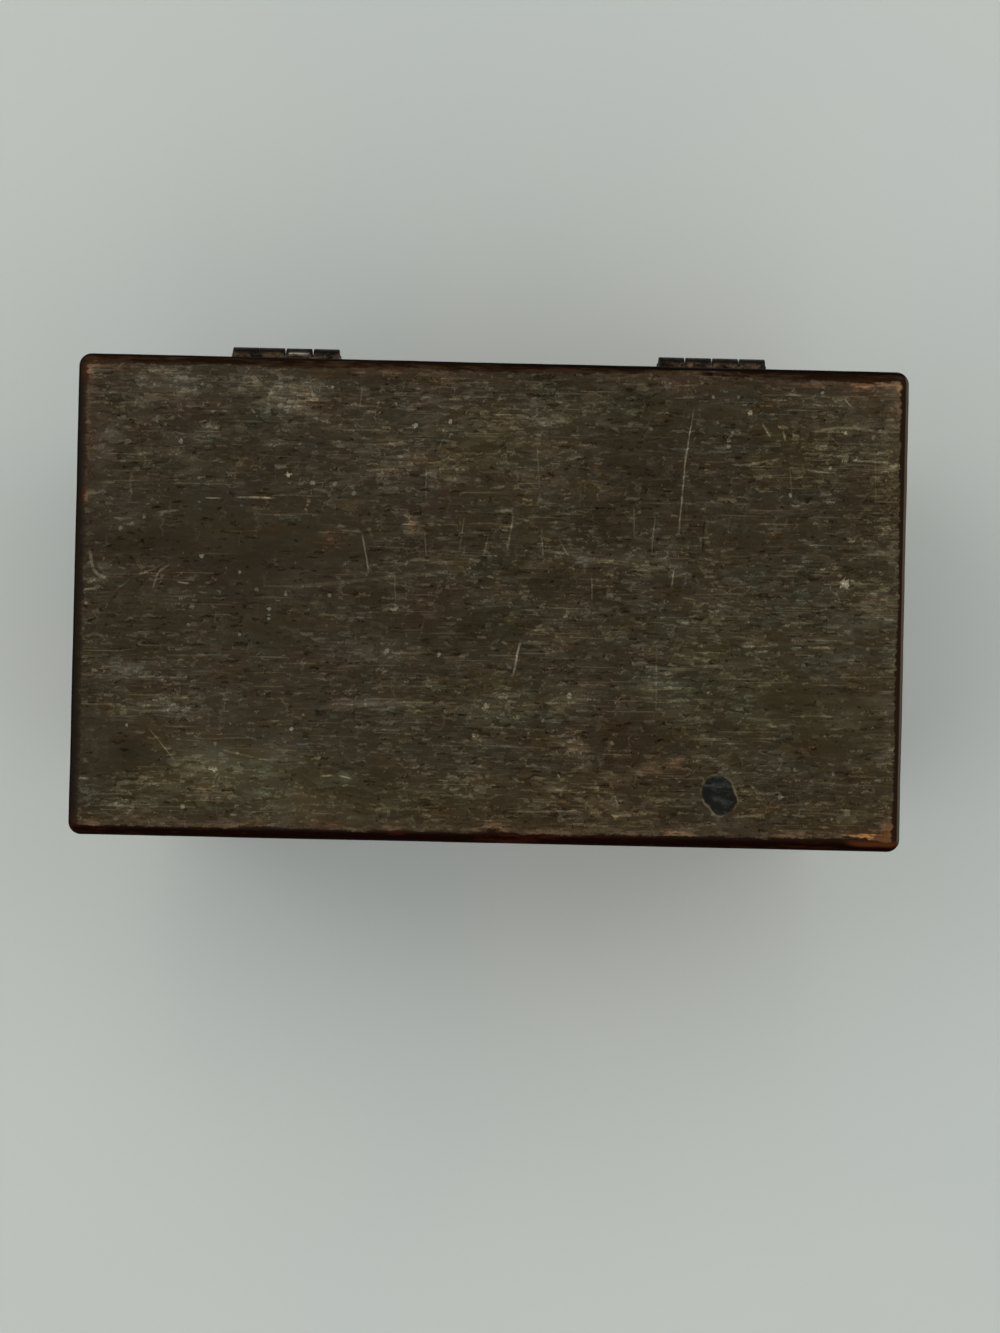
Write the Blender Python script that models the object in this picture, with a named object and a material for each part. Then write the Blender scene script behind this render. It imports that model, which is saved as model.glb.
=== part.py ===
# A wooden recipe box for index cards. It is finger-jointed as one closed box, sawn apart
# below the top to free the lid, and hung on two butt hinges screwed to its back.
# Metres, +Z up, front at -Y. The origin is the centre of the underside.

import math

import bmesh
import bpy
from mathutils import Vector

# The wooden case
BOX_WIDTH = 0.1429
BOX_DEPTH = 0.0827
WALL_THICKNESS = 0.00635
TOP_THICKNESS = 0.0048
BOTTOM_THICKNESS = 0.0048
CORNER_RADIUS = 0.0022
TOP_EDGE_RADIUS = 0.0016
BOTTOM_EDGE_RADIUS = 0.0011
RIM_CHAMFER = 0.0005

# The finger joints, whose count sets the heights of the body and of the lid
FINGER_HEIGHT = 0.00635
BODY_FINGERS = 11
LID_FINGERS = 2

# The two butt hinges, and how far their middle lies off the box's own
HINGE_LENGTH = 0.01905
HINGE_SPACING = 0.0766
HINGE_OFFSET = 0.00075
LEAF_REACH = 0.0086
LEAF_THICKNESS = 0.0009
LEAF_CORNER_RADIUS = 0.0008
KNUCKLE_COUNT = 4
PIN_RADIUS = 0.0009
PIN_OVERHANG = 0.0004
PIN_END_CHAMFER = 0.0003

# The slotted countersunk screws, two in each leaf, set in from the leaf's ends
SCREW_INSET = 0.0042
SCREW_LENGTH = 0.0056
SCREW_HEAD_RADIUS = 0.00165
SCREW_HEAD_SINK = 0.0001
SCREW_SHANK_RADIUS = 0.00075
SCREW_TIP_LENGTH = 0.0014
SCREW_TIP_RADIUS = 0.0002
SLOT_WIDTH = 0.00045
SLOT_DEPTH = 0.0004
SLOT_TURN = math.radians(50)

# Gaps between pieces
GLUE_GAP = 0.0003
LID_SEAM = 0.0003
LEAF_GAP = 0.0003
KNUCKLE_GAP = 0.0003
NOTCH_GAP = 0.0003
CURL_SLIT = 0.0003
PIN_CLEARANCE = 0.0002
SCREW_CLEARANCE = 0.0002
PILOT_SPARE = 0.0004

# How far a cutter runs past what it cuts, and how near two points are one place
OVERRUN = 0.001
NEAR = 0.000001

# Facets
CORNER_SEGMENTS = 5
EDGE_SEGMENTS = 4
CURL_STEP = math.radians(15)
ROUND_SIDES = 16
SMOOTH_ANGLE = math.radians(35)

# Heights of the case, from the bottom up
WALL_FOOT = BOTTOM_THICKNESS + GLUE_GAP
BODY_RIM = WALL_FOOT + BODY_FINGERS * FINGER_HEIGHT
LID_RIM = BODY_RIM + LID_SEAM
TOP_FOOT = LID_RIM + LID_FINGERS * FINGER_HEIGHT + GLUE_GAP

# The hinge line, level with the seam and behind the back wall
BORE_RADIUS = PIN_RADIUS + PIN_CLEARANCE
KNUCKLE_RADIUS = BORE_RADIUS + LEAF_THICKNESS
HINGE_Y = BOX_DEPTH / 2 + LEAF_GAP + KNUCKLE_RADIUS
HINGE_Z = BODY_RIM + LID_SEAM / 2

# Where a plate stops clear of the other leaf's knuckles, and the middle of what is left
NOTCH_HEIGHT = math.sqrt((KNUCKLE_RADIUS + NOTCH_GAP) ** 2 - BORE_RADIUS**2)
SCREW_HEIGHT = (NOTCH_HEIGHT + LEAF_REACH) / 2
SCREW_FACE = -BORE_RADIUS - SCREW_HEAD_SINK
SCREW_ACROSS = HINGE_LENGTH / 2 - SCREW_INSET

# Finishes: name, linear colour, roughness, metallic
WORN_WOOD = ("worn_wood", (0.043, 0.037, 0.026), 0.75, 0.0)
VARNISHED_WOOD = ("varnished_wood", (0.055, 0.014, 0.006), 0.35, 0.0)
TARNISHED_BRASS = ("tarnished_brass", (0.060, 0.045, 0.030), 0.45, 0.9)
DULL_STEEL = ("dull_steel", (0.110, 0.100, 0.090), 0.40, 1.0)


def clear_scene():
    for obj in list(bpy.data.objects):
        bpy.data.objects.remove(obj, do_unlink=True)


def make_material(name, colour, roughness, metallic):
    material = bpy.data.materials.get(name)
    if material:
        return material
    material = bpy.data.materials.new(name)
    material.use_nodes = True
    shader = material.node_tree.nodes["Principled BSDF"]
    shader.inputs["Base Color"].default_value = (*colour, 1.0)
    shader.inputs["Roughness"].default_value = roughness
    shader.inputs["Metallic"].default_value = metallic
    material.diffuse_color = (*colour, 1.0)
    return material


def smooth_mesh(mesh):
    mesh.shade_smooth()
    mesh.set_sharp_from_angle(angle=SMOOTH_ANGLE)
    return mesh


def finish_mesh(bm, name):
    bmesh.ops.recalc_face_normals(bm, faces=bm.faces)
    mesh = bpy.data.meshes.new(name)
    bm.to_mesh(mesh)
    bm.free()
    return smooth_mesh(mesh)


def place(name, mesh, finish, parent, location, turn=(0, 0, 0)):
    """Puts one piece at its closed position, given in the part's own axes."""
    obj = bpy.data.objects.new(name, mesh)
    bpy.context.scene.collection.objects.link(obj)
    if not mesh.materials:
        mesh.materials.append(make_material(*finish))
    obj.location = location
    obj.rotation_euler = turn
    if parent:
        obj.parent = parent
        obj.location -= parent.location
    return obj


def place_pivot(name, location):
    pivot = bpy.data.objects.new(name, None)
    bpy.context.scene.collection.objects.link(pivot)
    pivot.location = location
    return pivot


def cut(obj, cutter):
    """Takes a hidden cutter away from a piece."""
    cutter.hide_render = True
    cutter.display_type = "WIRE"
    boolean = obj.modifiers.new("cut", "BOOLEAN")
    boolean.operation = "DIFFERENCE"
    boolean.solver = "EXACT"
    boolean.object = cutter


def cut_mesh(name, blank, cutters):
    """One finished mesh for pieces that share a shape. The blank and its cutters are used up."""
    for cutter in cutters:
        cut(blank, cutter)
    bpy.context.view_layer.update()
    graph = bpy.context.evaluated_depsgraph_get()
    mesh = bpy.data.meshes.new_from_object(blank.evaluated_get(graph), depsgraph=graph)
    mesh.name = name
    for obj in (blank, *cutters):
        bpy.data.objects.remove(obj)
    return smooth_mesh(mesh)


def even_shading(obj):
    """Lets the flat faces set the shading where a rounded edge runs into them."""
    normals = obj.modifiers.new("even_shading", "WEIGHTED_NORMAL")
    normals.keep_sharp = True


def prism_mesh(name, outline, direction):
    """A flat outline of 3-D points, carried along a direction."""
    bm = bmesh.new()
    face = bm.faces.new([bm.verts.new(point) for point in outline])
    grown = bmesh.ops.extrude_face_region(bm, geom=[face])
    far = [item for item in grown["geom"] if isinstance(item, bmesh.types.BMVert)]
    bmesh.ops.translate(bm, verts=far, vec=direction)
    return finish_mesh(bm, name)


def block_mesh(name, low, high):
    """A plain block between two corners."""
    (x1, y1, z1), (x2, y2, z2) = low, high
    foot = [(x1, y1, z1), (x2, y1, z1), (x2, y2, z1), (x1, y2, z1)]
    return prism_mesh(name, foot, (0, 0, z2 - z1))


def turned_mesh(name, profile):
    """A solid turned about Y, from a list of places along Y and their radii."""
    bm = bmesh.new()
    rings = []
    for y, radius in profile:
        turns = [math.tau * i / ROUND_SIDES for i in range(ROUND_SIDES)]
        ring = [bm.verts.new((radius * math.cos(a), y, radius * math.sin(a))) for a in turns]
        rings.append(ring)
    for near, far in zip(rings, rings[1:]):
        for i in range(ROUND_SIDES):
            j = (i + 1) % ROUND_SIDES
            bm.faces.new((near[i], near[j], far[j], far[i]))
    bm.faces.new(rings[0])
    bm.faces.new(rings[-1])
    return finish_mesh(bm, name)


def round_edges(mesh, wanted, radius, segments):
    """Rounds over the edges that the test picks."""
    bm = bmesh.new()
    bm.from_mesh(mesh)
    edges = [edge for edge in bm.edges if wanted(edge)]
    bmesh.ops.bevel(bm, geom=edges, offset=radius, segments=segments, profile=0.5,
                    affect="EDGES", clamp_overlap=True)
    bm.to_mesh(mesh)
    bm.free()
    return smooth_mesh(mesh)


def at(value, target):
    return abs(value - target) < NEAR


def upright(edge):
    a, b = (vert.co for vert in edge.verts)
    return at(a.x, b.x) and at(a.y, b.y)


def panel_mesh(name, thickness, edge_radius, outer_is_up):
    """The top or bottom board, standing on z 0: round in plan, its outer edge rounded over."""
    x, y = BOX_WIDTH / 2, BOX_DEPTH / 2
    mesh = block_mesh(name, (-x, -y, 0), (x, y, thickness))
    round_edges(mesh, upright, CORNER_RADIUS, CORNER_SEGMENTS)
    outer = thickness if outer_is_up else 0

    def on_outer_face(edge):
        return all(at(vert.co.z, outer) for vert in edge.verts)

    return round_edges(mesh, on_outer_face, edge_radius, EDGE_SEGMENTS)


def finger_steps(reach, fingers, first_is_ours):
    """Points up one end of a board. It reaches out at its own fingers and steps in between."""
    short = reach - WALL_THICKNESS - GLUE_GAP
    points = []
    for i in range(fingers):
        ours = (i % 2 == 0) == first_is_ours
        x = reach if ours else short
        slack = GLUE_GAP / 2 if ours else -GLUE_GAP / 2
        low = i * FINGER_HEIGHT + (slack if i > 0 else 0)
        high = (i + 1) * FINGER_HEIGHT - (slack if i < fingers - 1 else 0)
        points += [(x, low), (x, high)]
    return points


def board_mesh(name, length, fingers, first_is_ours):
    """A wall standing on z 0 with its outer face at y 0, fingers cut in both ends."""
    reach = length / 2
    right = finger_steps(reach, fingers, first_is_ours)
    left = [(-x, z) for x, z in reversed(right)]
    outline = [(x, 0, z) for x, z in right + left]
    mesh = prism_mesh(name, outline, (0, WALL_THICKNESS, 0))

    def outer_corner(edge):
        x, y, _ = edge.verts[0].co
        return upright(edge) and at(abs(x), reach) and at(y, 0)

    return round_edges(mesh, outer_corner, CORNER_RADIUS, CORNER_SEGMENTS)


def place_walls(names, foot, fingers, first_is_long, parent):
    """Four boards round the box, in the order front, right, back, left."""
    long_board = board_mesh("long_board", BOX_WIDTH, fingers, first_is_long)
    short_board = board_mesh("short_board", BOX_DEPTH, fingers, not first_is_long)
    x, y = BOX_WIDTH / 2, BOX_DEPTH / 2
    sides = (
        (long_board, (0, -y, foot)),
        (short_board, (x, 0, foot)),
        (long_board, (0, y, foot)),
        (short_board, (-x, 0, foot)),
    )
    boards = []
    for i, (name, (mesh, location)) in enumerate(zip(names, sides)):
        turn = (0, 0, i * math.pi / 2)
        boards.append(place(name, mesh, VARNISHED_WOOD, parent, location, turn))
    return boards


def ease_rim(name, boards, rim, way, parent):
    """Takes the sharp inner edge off a rim all round. The way is up (1) or down (-1)."""
    bm = bmesh.new()
    rings = []
    for step in (-OVERRUN, RIM_CHAMFER + OVERRUN):
        x = BOX_WIDTH / 2 - WALL_THICKNESS + step
        y = BOX_DEPTH / 2 - WALL_THICKNESS + step
        z = rim + way * (step - RIM_CHAMFER)
        rings.append([bm.verts.new(p) for p in ((-x, -y, z), (x, -y, z), (x, y, z), (-x, y, z))])
    near, far = rings
    bm.faces.new(near)
    bm.faces.new(far)
    for i in range(len(near)):
        j = (i + 1) % len(near)
        bm.faces.new((near[i], near[j], far[j], far[i]))
    cutter = place(name, finish_mesh(bm, name), VARNISHED_WOOD, parent, (0, 0, 0))
    for board in boards:
        cut(board, cutter)


def knuckle_spans():
    """Where each knuckle starts and ends along the hinge."""
    pitch = (HINGE_LENGTH + KNUCKLE_GAP) / KNUCKLE_COUNT
    starts = [i * pitch - HINGE_LENGTH / 2 for i in range(KNUCKLE_COUNT)]
    return [(start, start + pitch - KNUCKLE_GAP) for start in starts]


def rolled_strip():
    """A leaf before its notches are cut: a plate whose whole foot is rolled round the pin."""
    slit_edge = BORE_RADIUS - CURL_SLIT
    stop = math.tau + math.acos(-slit_edge / KNUCKLE_RADIUS)
    steps = round((stop - math.pi) / CURL_STEP)
    turns = [math.pi + (stop - math.pi) * i / steps for i in range(steps + 1)]
    outside = [(KNUCKLE_RADIUS * math.cos(a), KNUCKLE_RADIUS * math.sin(a)) for a in turns]
    inside = [(BORE_RADIUS * math.cos(a), BORE_RADIUS * math.sin(a)) for a in reversed(turns)]
    plate = [(-BORE_RADIUS, LEAF_REACH), (-KNUCKLE_RADIUS, LEAF_REACH)]
    half = HINGE_LENGTH / 2
    outline = [(-half, y, z) for y, z in outside + inside + plate]
    mesh = prism_mesh("strip", outline, (HINGE_LENGTH, 0, 0))

    def free_corner(edge):
        a, b = (vert.co for vert in edge.verts)
        return at(a.x, b.x) and at(a.z, LEAF_REACH) and at(b.z, LEAF_REACH)

    return round_edges(mesh, free_corner, LEAF_CORNER_RADIUS, EDGE_SEGMENTS)


def notch_cutters(knuckles_kept):
    """A block at each knuckle of the other leaf, clear of it all round."""
    side = KNUCKLE_RADIUS + OVERRUN
    cutters = []
    for kept, (start, end) in zip(knuckles_kept, knuckle_spans()):
        if kept:
            continue
        first, last = at(start, -HINGE_LENGTH / 2), at(end, HINGE_LENGTH / 2)
        low = start - (OVERRUN if first else KNUCKLE_GAP)
        high = end + (OVERRUN if last else KNUCKLE_GAP)
        block = block_mesh("notch", (low, -side, -side), (high, side, NOTCH_HEIGHT))
        cutters.append(place("notch", block, TARNISHED_BRASS, None, (0, 0, 0)))
    return cutters


def screw_hole_mesh(name):
    """The screw's own outline grown by its clearance, and open above the head."""
    cone = SCREW_HEAD_RADIUS - SCREW_SHANK_RADIUS
    shank = SCREW_SHANK_RADIUS + SCREW_CLEARANCE
    head = SCREW_HEAD_RADIUS + SCREW_CLEARANCE
    profile = [
        (-SCREW_LENGTH - PILOT_SPARE, shank),
        (-cone, shank),
        (0, head),
        (OVERRUN, head),
    ]
    return turned_mesh(name, profile)


def screw_mesh():
    """A screw along Y with the face of its head at y 0, and a slot across the head."""
    cone = SCREW_HEAD_RADIUS - SCREW_SHANK_RADIUS
    profile = [
        (-SCREW_LENGTH, SCREW_TIP_RADIUS),
        (SCREW_TIP_LENGTH - SCREW_LENGTH, SCREW_SHANK_RADIUS),
        (-cone, SCREW_SHANK_RADIUS),
        (0, SCREW_HEAD_RADIUS),
    ]
    x, z = SCREW_HEAD_RADIUS + OVERRUN, SLOT_WIDTH / 2
    blank = place("blank", turned_mesh("blank", profile), TARNISHED_BRASS, None, (0, 0, 0))
    slot = block_mesh("slot", (-x, -SLOT_DEPTH, -z), (x, OVERRUN, z))
    return cut_mesh("screw", blank, [place("slot", slot, TARNISHED_BRASS, None, (0, 0, 0))])


def leaf_mesh(name, knuckles_kept):
    """A leaf standing up from the pin, which is its origin, with two countersunk holes."""
    blank = place("blank", rolled_strip(), TARNISHED_BRASS, None, (0, 0, 0))
    cutters = notch_cutters(knuckles_kept)
    for x in (-SCREW_ACROSS, SCREW_ACROSS):
        hole = screw_hole_mesh("hole")
        location = (x, SCREW_FACE, SCREW_HEIGHT)
        cutters.append(place("hole", hole, TARNISHED_BRASS, None, location))
    return cut_mesh(name, blank, cutters)


def pin_mesh():
    """The hinge pin, turned about Y."""
    reach = HINGE_LENGTH / 2 + PIN_OVERHANG
    end = PIN_RADIUS - PIN_END_CHAMFER
    profile = [
        (-reach, end),
        (PIN_END_CHAMFER - reach, PIN_RADIUS),
        (reach - PIN_END_CHAMFER, PIN_RADIUS),
        (reach, end),
    ]
    return turned_mesh("pin", profile)


def place_hinge(side, x, meshes, back_wall, back_rail, lid):
    """One hinge: a leaf on the lid, a leaf on the body, the pin, and two screws in each leaf."""
    line = (x, HINGE_Y, HINGE_Z)
    place(f"{side}_upper_leaf", meshes["upper"], TARNISHED_BRASS, lid, line)
    place(f"{side}_lower_leaf", meshes["lower"], TARNISHED_BRASS, None, line, (0, math.pi, 0))
    place(f"{side}_hinge_pin", meshes["pin"], DULL_STEEL, None, line, (0, 0, math.pi / 2))
    rows = (("upper", 1, back_rail, lid), ("lower", -1, back_wall, None))
    for row, (level, way, board, parent) in enumerate(rows):
        for number, across in ((1, -SCREW_ACROSS), (2, SCREW_ACROSS)):
            location = (x + across, HINGE_Y + SCREW_FACE, HINGE_Z + way * SCREW_HEIGHT)
            turn = (0, (2 * row + number) * SLOT_TURN, 0)
            name = f"{side}_{level}_screw_{number}"
            place(name, meshes["screw"], TARNISHED_BRASS, parent, location, turn)
            pilot = place(f"{name}_pilot", meshes["pilot"], VARNISHED_WOOD, parent, location)
            cut(board, pilot)


def build():
    clear_scene()
    lid = place_pivot("lid_pivot", (0, HINGE_Y, HINGE_Z))

    bottom_mesh = panel_mesh("bottom_panel", BOTTOM_THICKNESS, BOTTOM_EDGE_RADIUS, False)
    bottom = place("bottom_panel", bottom_mesh, VARNISHED_WOOD, None, (0, 0, 0))
    names = ("front_wall", "right_wall", "back_wall", "left_wall")
    walls = place_walls(names, WALL_FOOT, BODY_FINGERS, True, None)
    ease_rim("body_rim_easing", walls, BODY_RIM, 1, None)

    names = ("lid_front_rail", "lid_right_rail", "lid_back_rail", "lid_left_rail")
    rails = place_walls(names, LID_RIM, LID_FINGERS, BODY_FINGERS % 2 == 0, lid)
    ease_rim("lid_rim_easing", rails, LID_RIM, -1, lid)
    top_mesh = panel_mesh("top_panel", TOP_THICKNESS, TOP_EDGE_RADIUS, True)
    top = place("top_panel", top_mesh, WORN_WOOD, lid, (0, 0, TOP_FOOT))

    on_lid = [i % 2 == 1 for i in range(KNUCKLE_COUNT)]
    on_body = [not kept for kept in reversed(on_lid)]
    meshes = {
        "upper": leaf_mesh("upper_leaf", on_lid),
        "lower": leaf_mesh("lower_leaf", on_body),
        "pin": pin_mesh(),
        "screw": screw_mesh(),
        "pilot": screw_hole_mesh("pilot"),
    }
    for side, way in (("left", -1), ("right", 1)):
        x = HINGE_OFFSET + way * HINGE_SPACING / 2
        place_hinge(side, x, meshes, walls[2], rails[2], lid)
    for board in (bottom, *walls, *rails, top):
        even_shading(board)


build()
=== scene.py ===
import math

import bmesh
import bpy
import numpy as np
from mathutils import Matrix, Vector, noise


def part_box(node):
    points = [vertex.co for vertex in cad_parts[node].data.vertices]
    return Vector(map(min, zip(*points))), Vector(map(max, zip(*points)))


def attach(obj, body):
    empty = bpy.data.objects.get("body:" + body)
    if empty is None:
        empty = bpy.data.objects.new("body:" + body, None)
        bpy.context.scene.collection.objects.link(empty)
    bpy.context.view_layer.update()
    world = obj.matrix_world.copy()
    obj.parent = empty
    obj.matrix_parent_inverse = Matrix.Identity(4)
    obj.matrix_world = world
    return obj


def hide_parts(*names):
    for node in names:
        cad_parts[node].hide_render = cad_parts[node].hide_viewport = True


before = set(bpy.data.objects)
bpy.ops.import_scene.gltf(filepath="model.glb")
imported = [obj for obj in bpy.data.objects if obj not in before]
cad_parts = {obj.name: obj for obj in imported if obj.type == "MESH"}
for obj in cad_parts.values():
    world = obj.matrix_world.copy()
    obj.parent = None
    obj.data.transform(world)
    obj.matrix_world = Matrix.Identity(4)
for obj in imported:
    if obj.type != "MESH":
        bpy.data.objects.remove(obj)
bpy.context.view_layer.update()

# A wooden recipe box seen from straight above: a bare, worn lid with dark varnish left round
# its edges, and two tarnished butt hinges behind it. Metres unless a note says millimetres.
mm = 0.001
panelLow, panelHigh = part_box("top_panel")
wallLow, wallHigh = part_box("front_wall")
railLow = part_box("lid_front_rail")[0]
halfWidth, halfDepth = panelHigh.x, panelHigh.y
seam = (wallHigh.z + railLow.z) / 2         # where the lid parts from the body
print("recipe box: frame loaded,", len(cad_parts), "nodes")


# small helpers shared by every piece

def tint(red, green, blue):
    # a colour as it is seen, 0 to 255, turned into the shader's own numbers
    parts = [c / 255 for c in (red, green, blue)]
    return tuple(c / 12.92 if c < 0.04 else ((c + 0.055) / 1.055) ** 2.4 for c in parts) + (1.0,)


class Value:
    # a number or a colour at every place of a surface, so that a sum is written as a sum
    def __init__(self, finish, socket):
        self.finish, self.socket = finish, socket

    __add__ = __radd__ = lambda a, b: a.finish.calc("ADD", a, b)
    __sub__ = lambda a, b: a.finish.calc("SUBTRACT", a, b)
    __rsub__ = lambda a, b: a.finish.calc("SUBTRACT", b, a)
    __mul__ = __rmul__ = lambda a, b: a.finish.calc("MULTIPLY", a, b)
    __truediv__ = lambda a, b: a.finish.calc("DIVIDE", a, b)
    __abs__ = lambda a: a.finish.calc("ABSOLUTE", a)


class Finish:
    # one material, with short ways to add and join its nodes; self.place is in millimetres
    def __init__(self, name, gloss):
        self.material = bpy.data.materials.new(name)
        self.material.use_nodes = True
        self.tree = self.material.node_tree
        self.shader = self.tree.nodes["Principled BSDF"]
        for socket, value in gloss.items():
            self.shader.inputs[socket].default_value = value
        metres = self.node("TexCoord", output="Object")
        self.place = self.node("VectorMath", {0: metres, "Scale": 1 / mm}, operation="SCALE")
        self.x, self.y, self.z = self.split(self.place)

    def node(self, kind, inputs=(), output=0, **settings):
        made = self.tree.nodes.new("ShaderNode" + kind)
        for key, value in settings.items():
            setattr(made, key, value)
        for socket, value in dict(inputs).items():
            if isinstance(value, Value):
                self.tree.links.new(value.socket, made.inputs[socket])
            else:
                made.inputs[socket].default_value = value
        if isinstance(output, tuple):
            return tuple(Value(self, made.outputs[name]) for name in output)
        return Value(self, made.outputs[output])

    def split(self, vector):
        return self.node("SeparateXYZ", {0: vector}, output=(0, 1, 2))

    def layer(self, name):
        return self.split(self.node("Attribute", output="Vector", attribute_name=name))

    def calc(self, operation, a, b=0.0, c=0.0):
        return self.node("Math", {0: a, 1: b, 2: c}, operation=operation)

    def higher(self, a, b):
        return self.calc("MAXIMUM", a, b)

    def lower(self, a, b):
        return self.calc("MINIMUM", a, b)

    def wave(self, stretch, shift, detail, rough):
        # soft noise around zero; stretch is how many swells there are in each millimetre
        stretch = stretch if isinstance(stretch, tuple) else (stretch,) * 3
        spread = self.node("Mapping", {0: self.place, "Location": (shift, shift * 2, shift),
                                       "Scale": stretch})
        return self.node("TexNoise", {"Vector": spread, "Scale": 1.0, "Detail": detail,
                                      "Roughness": rough}) - 0.5

    def cells(self, place, long, high, shift):
        # flat cells of a given size, each with three random numbers from 0 to 1
        spread = self.node("Mapping", {0: place, "Location": (shift, shift * 2, 0.0),
                                       "Scale": (1 / long, 1 / high, 1.0)})
        return self.split(self.node("TexVoronoi", {"Vector": spread, "Scale": 1.0,
                                                   "Randomness": 1.0},
                                    output="Color", voronoi_dimensions="2D"))

    def fade(self, value, start, end, low=0.0, high=1.0, smooth=True):
        kind = "SMOOTHSTEP" if smooth else "LINEAR"
        return self.node("MapRange", {0: value, 1: start, 2: end, 3: low, 4: high},
                         interpolation_type=kind)

    def colours(self, value, places, shades):
        # a run of colours, 0 to 255, at places from 0 to 1
        shown = self.node("ValToRGB", {0: value})
        points = shown.socket.node.color_ramp.elements
        while len(points) < len(places):
            points.new(0.5)
        for point, place, shade in zip(points, places, shades):
            point.position = place
            point.color = tint(*shade)
        return shown

    def mix(self, amount, a, b, way="MIX"):
        # three numbers are a colour as it is seen, 0 to 255; four are the shader's own numbers
        a, b = (tint(*c) if isinstance(c, tuple) and len(c) == 3 else c for c in (a, b))
        return self.node("Mix", {0: amount, 6: a, 7: b}, output=2, data_type="RGBA",
                         blend_type=way)

    def paint(self, amount, colour, way="MIX"):
        # lays a colour over what there is so far
        self.colour = self.mix(amount, self.colour, colour, way)

    def wear(self, roughness, height, depth):
        # hands the finished colour, roughness and surface height to the shader
        bump = self.node("Bump", {"Height": height, "Distance": depth * mm, "Strength": 1.0})
        ends = {"Base Color": self.colour, "Roughness": roughness, "Normal": bump}
        for name, value in ends.items():
            self.tree.links.new(value.socket, self.shader.inputs[name])
        return self.material


def stretched(along, slow, quick):
    # swells per millimetre: slow along the grain, quick across it
    return tuple(slow if axis == along else quick for axis in "xyz")


def meshFromBmesh(name, bm):
    bmesh.ops.recalc_face_normals(bm, faces=bm.faces)
    bm.normal_update()
    for face in bm.faces:       # faces that lie square to the box stay flat
        face.smooth = max(abs(part) for part in face.normal) < 0.9999
    mesh = bpy.data.meshes.new(name)
    bm.to_mesh(mesh)
    bm.free()
    mesh.set_sharp_from_angle(angle=math.radians(38))
    return mesh


def addObject(name, data):
    made = bpy.data.objects.new(name, data)
    bpy.context.scene.collection.objects.link(made)
    return made


def addPiece(name, mesh, material, body, slot, *nodes):
    piece = addObject(name, mesh)
    mesh.materials.clear()
    mesh.materials.append(material)
    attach(piece, body)
    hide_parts(*nodes)
    return piece


def extruded(outline, direction):
    bm = bmesh.new()
    face = bm.faces.new([bm.verts.new(point) for point in outline])
    grown = bmesh.ops.extrude_face_region(bm, geom=[face])
    far = [item for item in grown["geom"] if isinstance(item, bmesh.types.BMVert)]
    bmesh.ops.translate(bm, verts=far, vec=direction)
    bmesh.ops.recalc_face_normals(bm, faces=bm.faces)
    return bm


def blockBetween(low, high):
    (x1, y1, z1), (x2, y2, z2) = low, high
    return extruded([(x1, y1, z1), (x2, y1, z1), (x2, y2, z1), (x1, y2, z1)], (0, 0, z2 - z1))


def joined(rings):
    # a closed shape with a wall between each ring of points and the next
    bm = bmesh.new()
    loops = [[bm.verts.new(point) for point in ring] for ring in rings]
    for near, far in zip(loops, loops[1:]):
        for i in range(len(near)):
            j = (i + 1) % len(near)
            bm.faces.new((near[i], near[j], far[j], far[i]))
    bm.faces.new(loops[0])
    bm.faces.new(loops[-1])
    bmesh.ops.recalc_face_normals(bm, faces=bm.faces)
    return bm


def turned(profile, sides):
    # a solid turned about Y from places along Y and their radii
    angles = [math.tau * i / sides for i in range(sides)]
    return joined([[(radius * math.cos(a), y, radius * math.sin(a)) for a in angles]
                   for y, radius in profile])


def carved(bm, cutters):
    # takes the cutters away from a shape and gives back what is left
    held = []
    for shape in (bm, *cutters):
        mesh = bpy.data.meshes.new("carving")
        shape.to_mesh(mesh)
        shape.free()
        held.append(addObject("carving", mesh))
    blank = held[0]
    for cutter in held[1:]:
        away = blank.modifiers.new("away", "BOOLEAN")
        away.operation, away.solver, away.object = "DIFFERENCE", "EXACT", cutter
    bpy.context.view_layer.update()
    graph = bpy.context.evaluated_depsgraph_get()
    left = bmesh.new()
    left.from_mesh(blank.evaluated_get(graph).to_mesh())
    for piece in held:
        mesh = piece.data
        bpy.data.objects.remove(piece)
        bpy.data.meshes.remove(mesh)
    return left


def roundEdges(bm, radius, segments, wanted=lambda a, b: True, sharper=None):
    # rounds the edges whose ends are where they are wanted; where an angle is given, only
    # outward edges that turn by more degrees than that
    edges = [edge for edge in bm.edges
             if (sharper is None or len(edge.link_faces) == 2 and edge.is_convex
                 and edge.calc_face_angle(0) > math.radians(sharper))
             and wanted(*(v.co for v in edge.verts))]
    bmesh.ops.bevel(bm, geom=edges, offset=radius, segments=segments, profile=0.5,
                    affect="EDGES", clamp_overlap=False)


def at(value, target):
    return abs(value - target) < 0.01 * mm


# the lid's top board, bare and worn

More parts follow.
